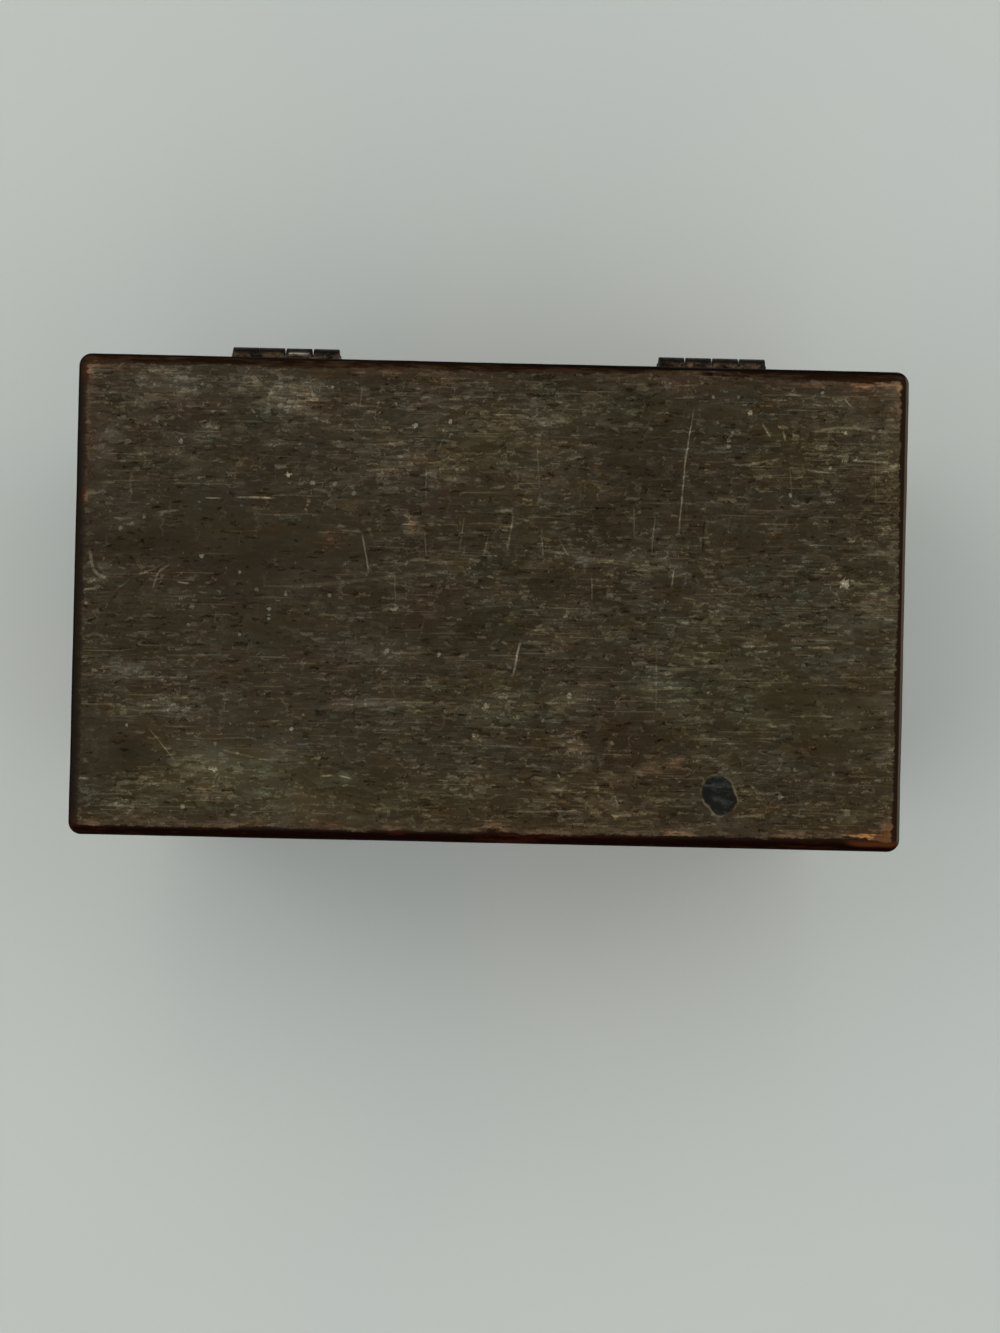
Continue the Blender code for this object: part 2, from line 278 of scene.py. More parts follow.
# Places on the lid are millimetres from its back left corner: across, then towards the front.
lidFace = {
    "cell": 0.5,                # spacing of the mesh on the flat part
    "edgeRadius": 1.6,          # rounding along the top edges
    "edgeWear": 0.35,           # how much that rounding varies
    "edgeLimits": (1.15, 2.1),  # the least and the most it can be
    "cornerRadius": 2.2,        # rounding of the four corners in plan
    "unevenness": 0.035,        # rise and fall of the worn face
    "speckDepth": 0.09,         # the dent at each speck
    "glueGap": 0.3, "glueLine": 0.05,       # down to the rails, and how much of it is left open
    "footEase": 0.12,           # rounding at the foot of the sides
    # varnish left along each edge: front, right, back, left; and how softly the sides blend
    "varnishWidth": (1.95, 1.55, 1.7, 1.85), "varnishBlend": 1.6,
    # soft patches: across, down, half width, half height, lighter, warmer, cross scuffs
    "patches": (
        (15, 4.5, 6, 3.5, 14, -1), (36, 6.6, 5.5, 3.2, 32, -2), (57, 17, 7, 4.5, 11, 2),
        (79, 16, 6, 8, 11, 4), (23.5, 70, 6, 4.5, 17, -1), (34, 73, 8, 6, 10), (8, 54.5, 6, 2.2, 15, -4),
        (17, 60.5, 9, 3, 12), (54, 50.5, 5, 2, 17, -1), (52, 59.3, 8, 1.4, 13, -2),
        (73, 59, 5, 2.5, 15, -1), (85.8, 57.7, 3, 1.8, 20, -1), (85.8, 65.5, 3.5, 2, 16, 4),
        (92, 76, 4.5, 2, 16, 4), (101, 55, 5, 3.5, 12, 1), (112, 41, 4.5, 2.5, 6), (138, 40, 2.5, 4, 11),
        (60, 35, 9, 1.6, 9, 2), (98, 34, 7, 2, 14, 2), (86, 33, 3, 3, 11), (127, 60, 14, 14, 3),
        (120, 50, 12, 6, 3), (140, 18, 2.5, 10, 9, 3), (60, 8, 8, 3, 2, 1), (48, 22, 5, 2, 8),
        (100, 15, 11, 10, -7, -1), (98, 21.5, 3, 2, -5), (30, 35, 13, 4, -7), (28, 29, 6, 3, -6),
        (10, 32, 6, 2.5, -9), (5, 9, 3, 3, -3, 2), (89, 29, 5, 3.5, -8), (82, 37.8, 5, 1.6, -7, 1),
        (68, 46, 8, 2.2, -7, 1), (115, 30, 4, 2.5, -4), (95, 63, 9, 5, -6, 1), (126.5, 65, 5, 3, -6),
        (9, 69, 4, 2.5, -9), (12, 49, 5, 2.5, -6), (43, 31, 3.5, 2.5, 0, 3),
        (57.5, 28.5, 1.2, 1.8, 18, 6), (44, 30, 1.4, 1.6, 8, 6), (15, 75, 4.5, 3, 12),
        (136, 12, 4, 4, 10), (129, 7, 4, 3, 9, 2), (78, 9.5, 12, 3, 9), (3.7, 15, 2, 4, 10, 2),
        (9.5, 8.5, 3, 2.5, 7), (104.8, 31.5, 2.5, 2, -9), (124, 74.5, 4, 3, -7), (53, 33.5, 4, 1.6, -7),
        (70, 71, 5, 3, 7), (122.5, 56.5, 3.5, 3, -6), (107.3, 77.2, 2.4, 1.8, -8, 3),
        (110, 79, 2.6, 1, 12, 2), (141, 36, 1.6, 26, 6), (30, 3, 5, 1.6, 8), (77, 12, 4, 3, -5),
        (68, 4.5, 4, 2, 7), (88, 8.5, 3, 2.5, 5), (82, 63.5, 4, 2, -6), (86, 73.7, 4, 2, 7, 3),
        (44, 77.5, 6, 2.5, 7, 2), (50, 22.5, 3, 2, -6), (103, 59.5, 4, 3, 6), (44.5, 12.5, 4, 2.5, 6),
        (22, 13.5, 4, 2, 6), (37, 67.5, 6, 2.5, 6), (58, 67, 6, 2, 5), (106, 45.5, 4, 2.5, 5),
        (114.5, 56.5, 3, 3, 5), (91.5, 39, 3, 2, -5), (47, 59.5, 3, 2, -5), (17, 4.5, 4, 2, 6),
        (140.5, 66, 2, 5, 6), (75, 27, 22, 9, 0, 0, 1), (100, 27, 9, 12, 0, 0, 0.8),
        (130, 14, 8, 8, 0, 0, 0.7), (8, 40, 8, 6, 0, 0, 0.5), (86.2, 66.2, 2.4, 1.5, 5, 4),
        (104, 68.2, 1.1, 0.9, 24, 5), (83.6, 73, 1.3, 0.9, 14, 2), (88.6, 75.4, 1.9, 1.1, 7, 2),
        (92.2, 76.5, 2, 1, 6, 4), (93, 70.8, 1.3, 0.9, 9, 3), (99.4, 69, 3, 1.5, 6, 3),
        (101.3, 75.8, 2, 0.6, 8, 1), (96.3, 78.8, 1.7, 0.6, 14, 3), (2.9, 24.3, 0.8, 0.7, 18, 9),
        (141, 2.6, 2, 1.2, 10, 2), (78.7, 9.7, 6, 2.5, -6), (58.6, 30.9, 3, 2, -8),
        (104, 2.4, 4, 1.2, 8, 1), (113.4, 70, 4, 1, 6, 2), (117, 73.5, 2.5, 1.5, 8, 2),
        (68.6, 8, 3, 1.5, 6), (14, 14, 4, 2.5, -6), (3.8, 57.2, 2.5, 2.5, -6), (136.8, 39.9, 2.5, 2.5, 6),
        (123.7, 28, 3, 2, -5), (32.5, 10.7, 3, 2, -5), (82, 20.2, 3, 2, 5), (66.7, 50.5, 3, 2, -5),
        (132.3, 50.9, 3, 2, 5), (97, 14.8, 3, 2.5, 5), (61, 40.4, 3, 2, -5), (56.2, 76.2, 3, 2, 5),
        (2, 2, 2, 1.5, 6), (140.5, 75.9, 2, 2.4, 15, 1), (94.7, 73.2, 2.5, 1.6, -8),
        (81.5, 66.5, 2.5, 2, -8), (103.7, 77.3, 2.5, 1.5, -7), (27.6, 5.4, 2.5, 2, 8),
        (133.8, 49.8, 2.5, 2.5, 8), (120.2, 72.2, 3, 1.5, -7), (111.8, 11.7, 2, 2, -6),
        (25.9, 31.1, 4, 2.5, 6), (110.7, 67.9, 3, 1.5, 6), (127.7, 16.8, 2, 1.5, -6),
        (4, 18.1, 2, 2.5, 6), (14.7, 8, 3, 2, 6), (39.2, 38.2, 3, 2, 5), (9.9, 29.6, 3, 2, 5),
        (132.8, 5.2, 3, 2, 6), (135, 30.2, 2.5, 2.5, -5), (48.2, 68.2, 3, 2, 5), (58.8, 31.1, 2.5, 2, -6),
        (6.4, 14.3, 3, 2.5, 9), (81, 2.4, 5, 1.6, -10), (122, 2.2, 4, 1.4, -7), (100.5, 73, 3, 1.5, -5),
        (133.1, 42.5, 3, 2.5, 7), (12.7, 57.1, 3, 2, -5), (69.2, 76.8, 3, 2, 7), (92.8, 59.5, 3, 2, 7),
        (133.2, 59.4, 4, 2.5, 7), (22.2, 75.6, 3.5, 1.5, 7, 1), (140.8, 49, 1.8, 4, 6),
        (68.6, 11.5, 4, 2, 6), (29.7, 2, 3, 1.2, 5), (99.8, 47.7, 3, 2, 5), (97.2, 34.8, 3, 2, -5),
        (120.5, 25.4, 3, 2, -4), (101.8, 15.2, 3, 2, 4), (12, 55.3, 3, 2, -4), (125.5, 77.5, 3, 1.5, -4),
        (9.2, 11.7, 3, 2.5, 4), (68.2, 34, 3, 2, -4), (15.5, 72.8, 3, 2, 4), (88.2, 32, 3, 2, -4),
        (39.6, 6.1, 3, 2, -6), (114.1, 73.9, 2, 1.5, 4, 2), (75.1, 11.8, 3, 2, -4),
        (92.3, 68.6, 3, 2, -6), (89.8, 39.1, 3, 2, -5), (34.5, 3.8, 3, 1.5, -5), (111.7, 52.2, 3, 2, 6),
        (21.4, 55, 3, 2, 6), (6.1, 68.9, 3, 2.5, 6), (100.2, 75.5, 3, 1.5, -4), (124.5, 34.9, 3, 2, -5),
        (91.7, 45.8, 3, 2, -4), (2, 21, 1.6, 8, -5, 1), (36.5, 68.7, 4, 2, 6), (140.8, 6, 1.6, 3, 8, 1),
    ),
    # wide shifts: across, down, half width, half height, more olive, redder, calmer
    "tones": (
        (120, 52, 26, 20, 1.2, -0.3), (30, 73, 26, 10, 1.2), (66, 77, 25, 6, 0.9, 0.5),
        (134, 76, 9, 6, 0.6, 0.4), (62, 41, 7, 5, 0, 1.6), (94, 66, 5, 5, 0, 1.7),
        (101, 68.5, 6, 1.6, 0, 1), (72, 20, 16, 12, 0.5), (72, 60, 14, 9, 0.6), (132, 19, 8, 9, 0.5, 0.1),
        (55, 2.4, 15, 1.5, 0, 2.4), (109, 2.4, 12, 1.5, 0, 2), (138, 3, 5, 1.6, 0, 1.5),
        (141, 76, 2, 4, 0, 1), (141, 8, 2, 3, 0, 1), (135, 15, 10, 12, 0.3, 0.2), (3, 15, 3, 14, 0, 0.6),
        (120, 16, 6, 6, 0.5, 0.3), (90.5, 75, 4, 3, 0.3, 1), (44, 79.6, 6, 1.4, -0.3, 1.8),
        (113, 65.5, 4, 3, 0.7, 0.3), (62, 3, 10, 2.5, 0.5, 0.6), (15, 35, 18, 18, -0.3),
        (90, 45, 8, 8, -0.3), (110, 30, 7, 6, -0.4), (20, 10, 12, 8, -0.5, -0.1), (50, 48, 8, 7, -0.2),
        (88.6, 75.2, 2, 1.2, -0.3, 1.6), (99.4, 69, 3, 1.6, 0, 1.2), (17, 73, 4, 1.3, -0.3, 1.2),
        (24.5, 75.3, 3.5, 1, -0.3, 1.2), (20, 79.6, 12, 1.2, 0, 1.3), (43, 30.5, 2, 2, 0, 1.5),
        (132, 79.5, 9, 2, 0.3, 1), (25, 32, 19, 8, 0, 0, 1), (37, 39, 9, 7, 0, 0, 0.8),
        (8, 67, 7, 5, 0, 0, 1.1), (37, 66, 9, 7, 0, 0, 0.9), (45, 77, 9, 4, 0, 0, 0.8),
        (28, 48, 11, 6, 0, 0, 0.8), (38, 57, 8, 5, 0, 0, 0.8), (128, 58, 9, 7, 0, 0, 0.9),
        (136, 47, 6, 5, 0, 0, 0.8), (115, 27, 7, 4, 0, 0, 0.8), (109, 6, 7, 4, 0, 0, 0.9),
        (24, 69.2, 4.5, 2.6, 0, 0, 1), (33, 73, 5, 3, 0, 0, 0.6), (97, 26, 5, 4, 0, 0, 0.6),
        (5, 20, 5, 10, 0, 0, 0.5), (89, 57, 5, 4, 0, 0, 0.4), (61, 4, 8, 4, 0, 0.6),
        (92, 78, 32, 5, 0.2, 1), (112, 68, 16, 6, 0.2, 0.4), (138, 78, 5, 4, 0, 1),
        (116, 23, 6, 5, 0, -0.4), (4, 62, 5, 9, 0, -0.3), (138, 25, 7, 22, 0.2, 0.25),
        (98, 77, 18, 5, 0.4), (33, 42, 16, 14, -0.45), (24, 12, 12, 7, -0.4), (94.8, 79, 5, 2, 0.2, 0.7),
        (113.5, 65.3, 3, 2.5, 0, 0.6), (66, 79, 5, 2, 0, 0.6), (59.1, 12.8, 4, 3, 0, 0.7),
        (124.8, 6.3, 4, 3, 0.2, 0.4), (104.6, 55.2, 4, 4, 0.5, 0.2), (120.4, 70.7, 3, 3, 0.5),
        (84.4, 46.9, 4, 3, -0.5), (141, 80, 2, 2, 0.5, 1.2), (6, 68, 6, 5, -0.6), (94, 28, 14, 9, -0.35),
        (60, 54, 8, 7, -0.3), (118, 56, 12, 14, 0.35, -0.1), (30, 36, 16, 9, -0.2), (94, 54, 6, 9, -0.25),
        (25, 69, 8, 4.5, 0, 0, 0.6), (138, 24, 6, 9, 0, 0, -1), (128, 16, 7, 7, 0, 0, -0.9),
        (78, 36, 6, 4, 0, 0, -1.2), (90, 76, 11, 5, 0, 0, -1), (13, 37, 7, 4, 0, 0, -0.9),
        (85, 67, 5, 4, 0, 0, -0.8), (70, 5, 17, 4, 0, 0, -0.6), (88, 28, 5, 5, 0, 0, -0.6),
        (78, 46, 6, 5, 0, 0, -0.5),
    ),
    # scratches: how pale, half width, then points along the line; negative is dark
    "scratches": (
        (36, 0.13, (105.8, 6.8), (104.5, 16), (103.5, 30)), (34, 0.13, (102.9, 35), (102.6, 38)),
        (16, 0.12, (95.8, 24), (96, 30)), (18, 0.12, (99.5, 25.5), (99, 33)),
        (18, 0.12, (45.5, 29.5), (49.3, 29.8)), (30, 0.14, (49.3, 29.8), (50.7, 37)),
        (44, 0.16, (27.5, 24.3), (34.5, 24.3)), (36, 0.13, (22.3, 24.6), (25, 24.5)),
        (15, 0.12, (60.1, 18), (60.1, 24)), (18, 0.13, (60, 29.5), (60.5, 34)),
        (15, 0.12, (66.8, 26.5), (66, 33)), (22, 0.14, (75.2, 26.2), (74.2, 33)),
        (16, 0.12, (80, 28), (80.5, 34)), (44, 0.17, (76.8, 48), (75.7, 54)),
        (30, 0.26, (2.8, 33.6), (3.4, 37), (4.4, 38.2), (6.2, 38.8)),
        (24, 0.17, (16.6, 36), (14.6, 37.4), (13.7, 40.4)), (22, 0.15, (14.4, 36.8), (11.2, 38)),
        (16, 0.15, (9.8, 38.8), (7.6, 40.6)), (40, 0.18, (1.6, 40.8), (4.6, 40.3)),
        (36, 0.14, (17.8, 39), (20, 39.3)), (42, 0.16, (43.3, 71.7), (45.3, 71.6)),
        (42, 0.15, (46.4, 71.6), (48.8, 72.1)), (14, 0.14, (25.6, 67.5), (35, 69.5)),
        (40, 0.18, (1.6, 73), (3.4, 73.1)), (28, 0.16, (121.1, 10.8), (121.6, 12.6)),
        (24, 0.2, (114.5, 16.9), (118, 16.1), (121.2, 15.4)),
        (20, 0.2, (125.8, 10.8), (131, 9.9), (137.7, 10.3)), (26, 0.18, (132.7, 15.5), (140, 15.8)),
        (24, 0.16, (125, 17.4), (130, 17.9)), (34, 0.18, (121.9, 4.5), (124.3, 4.6)),
        (26, 0.18, (14, 27.3), (18, 26.7)), (20, 0.16, (104.4, 39.8), (107, 40.2)),
        (24, 0.11, (13.5, 64), (18.5, 70)), (30, 0.15, (117.5, 9.5), (119, 12)),
        (30, 0.14, (131.5, 5), (133, 6.5)), (13, 0.12, (79, 14), (79.5, 21.5)),
        (-14, 0.15, (108, 25.5), (107.8, 32)), (18, 0.12, (48.8, 4.8), (48.4, 9)),
        (14, 0.12, (122.4, 17), (123, 22.5)), (20, 0.12, (83, 30), (85, 33.5)),
        (16, 0.12, (88.8, 36), (89, 41)), (14, 0.12, (71, 30), (70.2, 33.6)),
        (12, 0.12, (55, 36), (55.4, 42)), (10, 0.12, (137, 14), (137.4, 24)),
        (14, 0.12, (128.5, 11), (131, 13)), (9, 0.12, (100.2, 48), (100.4, 60)),
        (14, 0.12, (63.5, 12), (62, 15.5)), (9, 0.3, (35, 39.8), (52, 37.8), (68, 35.6)),
        (10, 0.3, (84, 33.1), (95, 34.2), (105, 35.3)), (10, 0.35, (40, 60.2), (52, 59.2), (63, 58.8)),
        (26, 0.2, (113.7, 77.2), (116, 77), (119.6, 76.7)),
        (-26, 0.32, (105.5, 1.15), (110, 1.35), (115.8, 1.45)),
    ),
    # specks and chips: across, down, radius, how pale
    "specks": (
        (36.5, 20.3, 0.42, 55), (22, 34.5, 0.38, 42), (28.5, 37.2, 0.26, 38), (36.5, 40.7, 0.3, 34),
        (44, 40.8, 0.3, 34), (33.7, 43.3, 0.34, 42), (33.7, 45, 0.26, 34), (28.8, 47.8, 0.26, 34),
        (20, 46.3, 0.28, 26), (38, 63.8, 0.36, 46), (9.8, 63.8, 0.32, 40), (64, 10.5, 0.35, 44),
        (58, 11.3, 0.42, 48), (43.7, 5, 0.3, 36), (18, 15, 0.36, 32), (39.7, 26.2, 0.28, 34),
        (122.6, 21.8, 0.32, 44), (69.2, 64.2, 0.3, 34), (24.2, 70.8, 0.3, 30), (19.7, 77.5, 0.38, 36),
        (63, 50.5, 0.36, 40), (115.5, 7.8, 0.42, 46), (54, 50.2, 0.5, 30), (85.5, 57, 0.45, 32),
        (98.5, 11, 0.3, 26), (71.2, 59.2, 0.6, 40), (129.5, 63, 0.25, 24), (2.4, 43, 0.3, 26),
        (81, 61.5, 0.25, 24), (108, 48, 0.25, 20), (132.4, 36.8, 0.85, 56), (131.4, 35.4, 0.35, 26),
        (133.6, 36.2, 0.3, 24), (127.8, 4, 0.3, 30), (131.9, 10.9, 0.3, 36), (129.4, 17, 0.28, 34),
        (136.6, 11.6, 0.4, 24), (109, 5.3, 0.28, 36), (113.4, 5.1, 0.32, 30), (112.5, 11.3, 0.3, 34),
        (111.8, 12.6, 0.35, 24), (40.6, 21.6, 0.4, 30), (44.5, 21.6, 0.35, 26), (47.8, 23.3, 0.4, 28),
        (40, 24.7, 0.35, 26), (8, 30.1, 0.35, 28), (12, 28.1, 0.3, 28), (20.5, 43.2, 0.4, 26),
        (31.5, 40, 0.35, 24), (25, 66.6, 0.3, 24), (25, 71, 0.45, 38), (93, 65, 0.3, 26),
        (84, 70.8, 0.25, 34), (122, 73.5, 0.5, 30), (124.4, 68.8, 0.25, 30), (131, 69.5, 0.35, 28),
        (133.5, 76, 0.5, 24),
    ),
    # worn orange wood beside the varnish: across, down, half width, half height, strength
    "wornEdges": (
        (137.5, 79.5, 5, 1.7, 1.5), (141.4, 79.2, 1.8, 2.2, 1.5), (137, 81.3, 5, 0.9, 0.75),
        (134.5, 3, 8, 1.5, 1.2), (141.2, 4.6, 1.2, 2.6, 0.7), (71, 80, 62, 1.6, 0.22),
        (13, 80, 5, 1.2, 0.35), (30, 80, 3, 1, 0.3), (47, 80, 2.5, 1, 0.25), (56, 80, 3, 1, 0.3),
        (74, 79.6, 5, 1.3, 0.4), (82, 79.5, 3, 1.2, 0.4), (104, 79.8, 6, 1.1, 0.65),
        (125, 79.8, 4.5, 1, 0.6), (131, 80, 2, 1.2, -0.25), (3, 80, 3.5, 2, 0.4), (4, 3.2, 5, 2, 0.5),
        (1.9, 24.4, 0.8, 1.8, 0.8), (2, 9, 1.6, 9, 0.32), (55, 2.2, 9, 1, 0.35), (104, 2.2, 12, 1, 0.2),
        (22, 80.6, 9, 1.2, 0.1),
    ),
    # more or less varnish than along the rest of a side, in the same way, in millimetres
    "varnishSwell": (
        (64, 1.5, 24, 3, 0.1), (10, 1.5, 11, 3, 0.25), (127, 1.5, 12, 3, 0.35), (137, 1, 6, 3, 0.25),
        (38, 1, 8, 2.5, 0.15), (107, 1, 10, 2.5, -1), (58, 1, 4, 2.5, -0.2), (14, 81, 15, 3, -0.2),
        (33.5, 81, 2.5, 3, 0.3), (50, 81, 4, 3, -0.25), (61, 81, 2, 3, -0.25), (68.5, 81, 1.6, 3, -0.3),
        (72.5, 81, 2.2, 3, 0.55), (79, 81, 2, 3, -0.3), (86, 81, 2.2, 3, -0.25),
        (94.5, 81, 2.5, 3, -0.15), (82, 81, 1.5, 3, 0.2), (104, 81, 4, 3, 0.35), (111, 81, 1.5, 3, 0.25),
        (126, 81, 4, 3, 0.2), (133, 81, 6, 3, 0.4), (60, 81, 10, 3, 0.15), (1, 10, 3, 14, -0.3),
        (142, 36, 3, 10, -0.25), (142, 66, 3, 6, -0.2), (142, 2, 4, 3, -0.1), (1, 1, 3, 3, -0.1),
    ),
    # overlapping round drops: place, radius
    "stain": ((111.2, 72.9, 2.65), (112.7, 74.4, 1.8), (111.8, 75.3, 1.6)),
    "scratchLayers": 4,         # scratches that lie close together are kept in different layers
}


def lidPoint(across, down):
    return across * mm - halfWidth, halfDepth - down * mm


def gridLines(half, spec):
    # places from -half to half: fine rings near both edges, even steps between
    radius, corner = spec["edgeRadius"] * mm, spec["cornerRadius"] * mm
    ring = [radius * (1 - math.cos(math.radians(a))) for a in (0, 9, 18, 28, 38, 49, 60, 72, 84)]
    ring += [radius + (corner - radius) * t for t in (0.35, 0.7)]
    steps = round(2 * (half - corner) / (spec["cell"] * mm))
    inner = [corner + 2 * (half - corner) * i / steps for i in range(steps + 1)]
    side = np.array(ring)
    return np.concatenate([side - half, np.array(inner) - half, half - side[::-1]])


def roundCorners(x, y, corner):
    # bends the square corner patches into quarter discs, and gives the distance to the outline
    dx, dy = halfWidth - np.abs(x), halfDepth - np.abs(y)
    inCorner = (dx < corner) & (dy < corner)
    a, b = np.clip(1 - dx / corner, 0, 1), np.clip(1 - dy / corner, 0, 1)
    bentA, bentB = a * np.sqrt(1 - b * b / 2), b * np.sqrt(1 - a * a / 2)
    newX = np.where(inCorner, np.sign(x) * (halfWidth - corner + corner * bentA), x)
    newY = np.where(inCorner, np.sign(y) * (halfDepth - corner + corner * bentB), y)
    reach = corner * (1 - np.sqrt(bentA**2 + bentB**2))
    return newX, newY, np.where(inCorner, reach, np.minimum(dx, dy))


def swell(x, y, across, along, seed):
    # smooth noise from -1 to 1 over arrays of places; across and along are swells per metre
    return np.array([noise.noise((px * across + seed, py * along, seed)) for px, py in zip(x, y)])


def blob(x, y, across, down, wide, high):
    cx, cy = lidPoint(across, down)
    return np.exp(-((x - cx) / (wide * mm)) ** 2 - ((y - cy) / (high * mm)) ** 2)


def blobSums(x, y, spots):
    # adds up soft spots: across, down, half width, half height, then one to three strengths
    total = np.zeros((len(x), 3))
    for across, down, wide, high, *strengths in spots:
        strengths += [0] * (3 - len(strengths))
        total += blob(x, y, across, down, wide, high)[:, None] * strengths
    return total


def scratchValues(x, y, scratches, layers, reach=1.1 * mm, spacing=2.4 * mm):
    # each layer holds offset from a line, its strength and its half width, out to the reach
    data = [np.zeros((len(x), 3)) for _ in range(layers)]
    taken = [np.zeros(len(x), bool) for _ in range(layers)]
    for strength, width, *points in scratches:
        best, offset, fade = np.ones(len(x)), np.ones(len(x)), np.zeros(len(x))
        places = [np.array(lidPoint(*point)) for point in points]
        total = sum(np.linalg.norm(b - a) for a, b in zip(places, places[1:]))
        walked = 0.0
        for start, end in zip(places, places[1:]):
            length = np.linalg.norm(end - start)
            way = (end - start) / length
            px, py = x - start[0], y - start[1]
            along = px * way[0] + py * way[1]
            side = px * way[1] - py * way[0]
            distance = np.hypot(side, np.maximum(0, np.maximum(-along, along - length)))
            part = np.clip((walked + along) / total, 0, 1)
            ends = np.clip(np.minimum(part, 1 - part) * 6, 0, 1)
            nearer = distance < best
            best = np.where(nearer, distance, best)
            offset = np.where(nearer, side, offset)
            fade = np.where(nearer, ends, fade)
            walked += length
        near, apart = best < reach, best < spacing
        free = next((i for i in range(layers) if not (taken[i] & apart).any()), layers - 1)
        taken[free] |= apart
        data[free][near] = np.stack(
            [offset[near] / mm, strength * fade[near], np.full(near.sum(), width)], 1)
    return data


def speckValues(x, y, specks):
    # the offset from the nearest speck, in its own radii, and how pale it is
    values, nearest = np.zeros((len(x), 3)), np.full(len(x), 9.0)
    for across, down, size, pale in specks:
        cx, cy = lidPoint(across, down)
        dx, dy = (x - cx) / (size * mm), (y - cy) / (size * mm)
        away = np.hypot(dx, dy) * size
        near = (away < 1.6 + size) & (away < nearest)
        values[near] = np.stack([dx[near], dy[near], np.full(near.sum(), pale)], 1)
        nearest = np.where(near, away, nearest)
    return values


def lidSurface(spec):
    # the worn top as a grid of vertices and quads, then the sides and the underside
    corner, ease = spec["cornerRadius"] * mm, spec["footEase"] * mm
    foot = panelLow.z - (spec["glueGap"] - spec["glueLine"]) * mm
    xs, ys = gridLines(halfWidth, spec), gridLines(halfDepth, spec)
    gx, gy = (grid.ravel() for grid in np.meshgrid(xs, ys, indexing="ij"))
    x, y, inward = roundCorners(gx, gy, corner)
    wear = swell(x, y, 60, 60, 3.1) + 0.5 * swell(x, y, 190, 190, 8.3)
    radius = np.clip(spec["edgeRadius"] + spec["edgeWear"] * wear, *spec["edgeLimits"]) * mm
    part = np.clip(inward / radius, 0, 1)
    z = panelHigh.z - radius * (1 - np.sqrt(1 - (1 - part) ** 2))
    # the flat part rises and falls a little, and keeps below the board's full height
    rise = 0.6 * swell(x, y, 28, 70, 1.7) + 0.4 * swell(x, y, 110, 420, 5.9)
    z += np.clip(inward / (3 * mm), 0, 1) * spec["unevenness"] * mm * (rise - 0.9)
    for across, down, size, _ in spec["specks"]:
        depth = spec["speckDepth"] * mm * (1 + size)
        z -= blob(x, y, across, down, size * 1.1, size * 1.1) * depth
    index = np.arange(len(xs) * len(ys)).reshape(len(xs), len(ys))
    quads = np.stack([index[:-1, :-1], index[1:, :-1], index[1:, 1:], index[:-1, 1:]], -1)
    faces = quads.reshape(-1, 4).tolist()
    topFaces = len(faces)
    rim = (list(index[:, 0]) + list(index[-1, 1:]) + list(index[-2::-1, -1])
           + list(index[0, -2:0:-1]))
    verts = np.stack([x, y, z], 1).tolist()
    previous = rim
    # rings down the sides: inset and height above the foot in eases, share of the way down
    for inset, raised, share in ((0, 1, 0.3), (0, 1, 0.65), (0, 1, 1), (0.3, 0.3, 1), (1, 0, 1)):
        ring = []
        for v in rim:
            vx, vy, vz = verts[v]
            cx = max(-halfWidth + corner, min(halfWidth - corner, vx))
            cy = max(-halfDepth + corner, min(halfDepth - corner, vy))
            out = Vector((vx - cx, vy - cy)).normalized() * inset * ease
            ring.append(len(verts))
            verts.append((vx - out.x, vy - out.y, vz + (foot + raised * ease - vz) * share))
        for i in range(len(rim)):
            j = (i + 1) % len(rim)
            faces.append([previous[j], previous[i], ring[i], ring[j]])
        previous = ring
    faces.append(previous[::-1])
    return verts, faces, topFaces, inward


def buildLidTop(spec, faceWood, sideWood):
    verts, faces, topFaces, inward = lidSurface(spec)
    mesh = bpy.data.meshes.new("lidTop")
    mesh.from_pydata(verts, [], faces)
    bm = bmesh.new()
    bm.from_mesh(mesh)
    bmesh.ops.recalc_face_normals(bm, faces=bm.faces)
    bm.to_mesh(mesh)
    bm.free()
    mesh.shade_smooth()
    mesh.set_sharp_from_angle(angle=math.radians(50))

    # what the wood's finish reads from the mesh
    x, y = np.array(verts)[:, :2].T
    distance = np.concatenate([inward, np.zeros(len(verts) - len(inward))])
    # each side's varnish width holds along that side and blends at the corners
    sides = np.stack([y + halfDepth, halfWidth - x, halfDepth - y, x + halfWidth], 1)
    share = np.exp(-np.clip(sides, 0, 1) / (spec["varnishBlend"] * mm)) + 1e-12
    width = (share * spec["varnishWidth"]).sum(1) / share.sum(1)
    width += blobSums(x, y, spec["varnishSwell"])[:, 0]
    worn = blobSums(x, y, spec["wornEdges"])[:, 0]
    layers = {"patches": blobSums(x, y, spec["patches"]), "tones": blobSums(x, y, spec["tones"]),
              "edges": np.stack([distance / mm, width, worn], 1),
              "specks": speckValues(x, y, spec["specks"])}
    for i, values in enumerate(scratchValues(x, y, spec["scratches"], spec["scratchLayers"])):
        layers[f"scratches{i}"] = values
    for name, values in layers.items():
        data = mesh.attributes.new(name, "FLOAT_VECTOR", "POINT")
        data.data.foreach_set("vector", values.astype(np.float32).ravel())
    piece = addPiece("lidTop", mesh, faceWood, "lid", "worn_wood", "top_panel")
    mesh.materials.append(sideWood)
    onSide = np.zeros(len(mesh.polygons), np.int32)
    onSide[topFaces:-1] = 1
    mesh.polygons.foreach_set("material_index", onSide)
    return piece


# the finishes of the wood

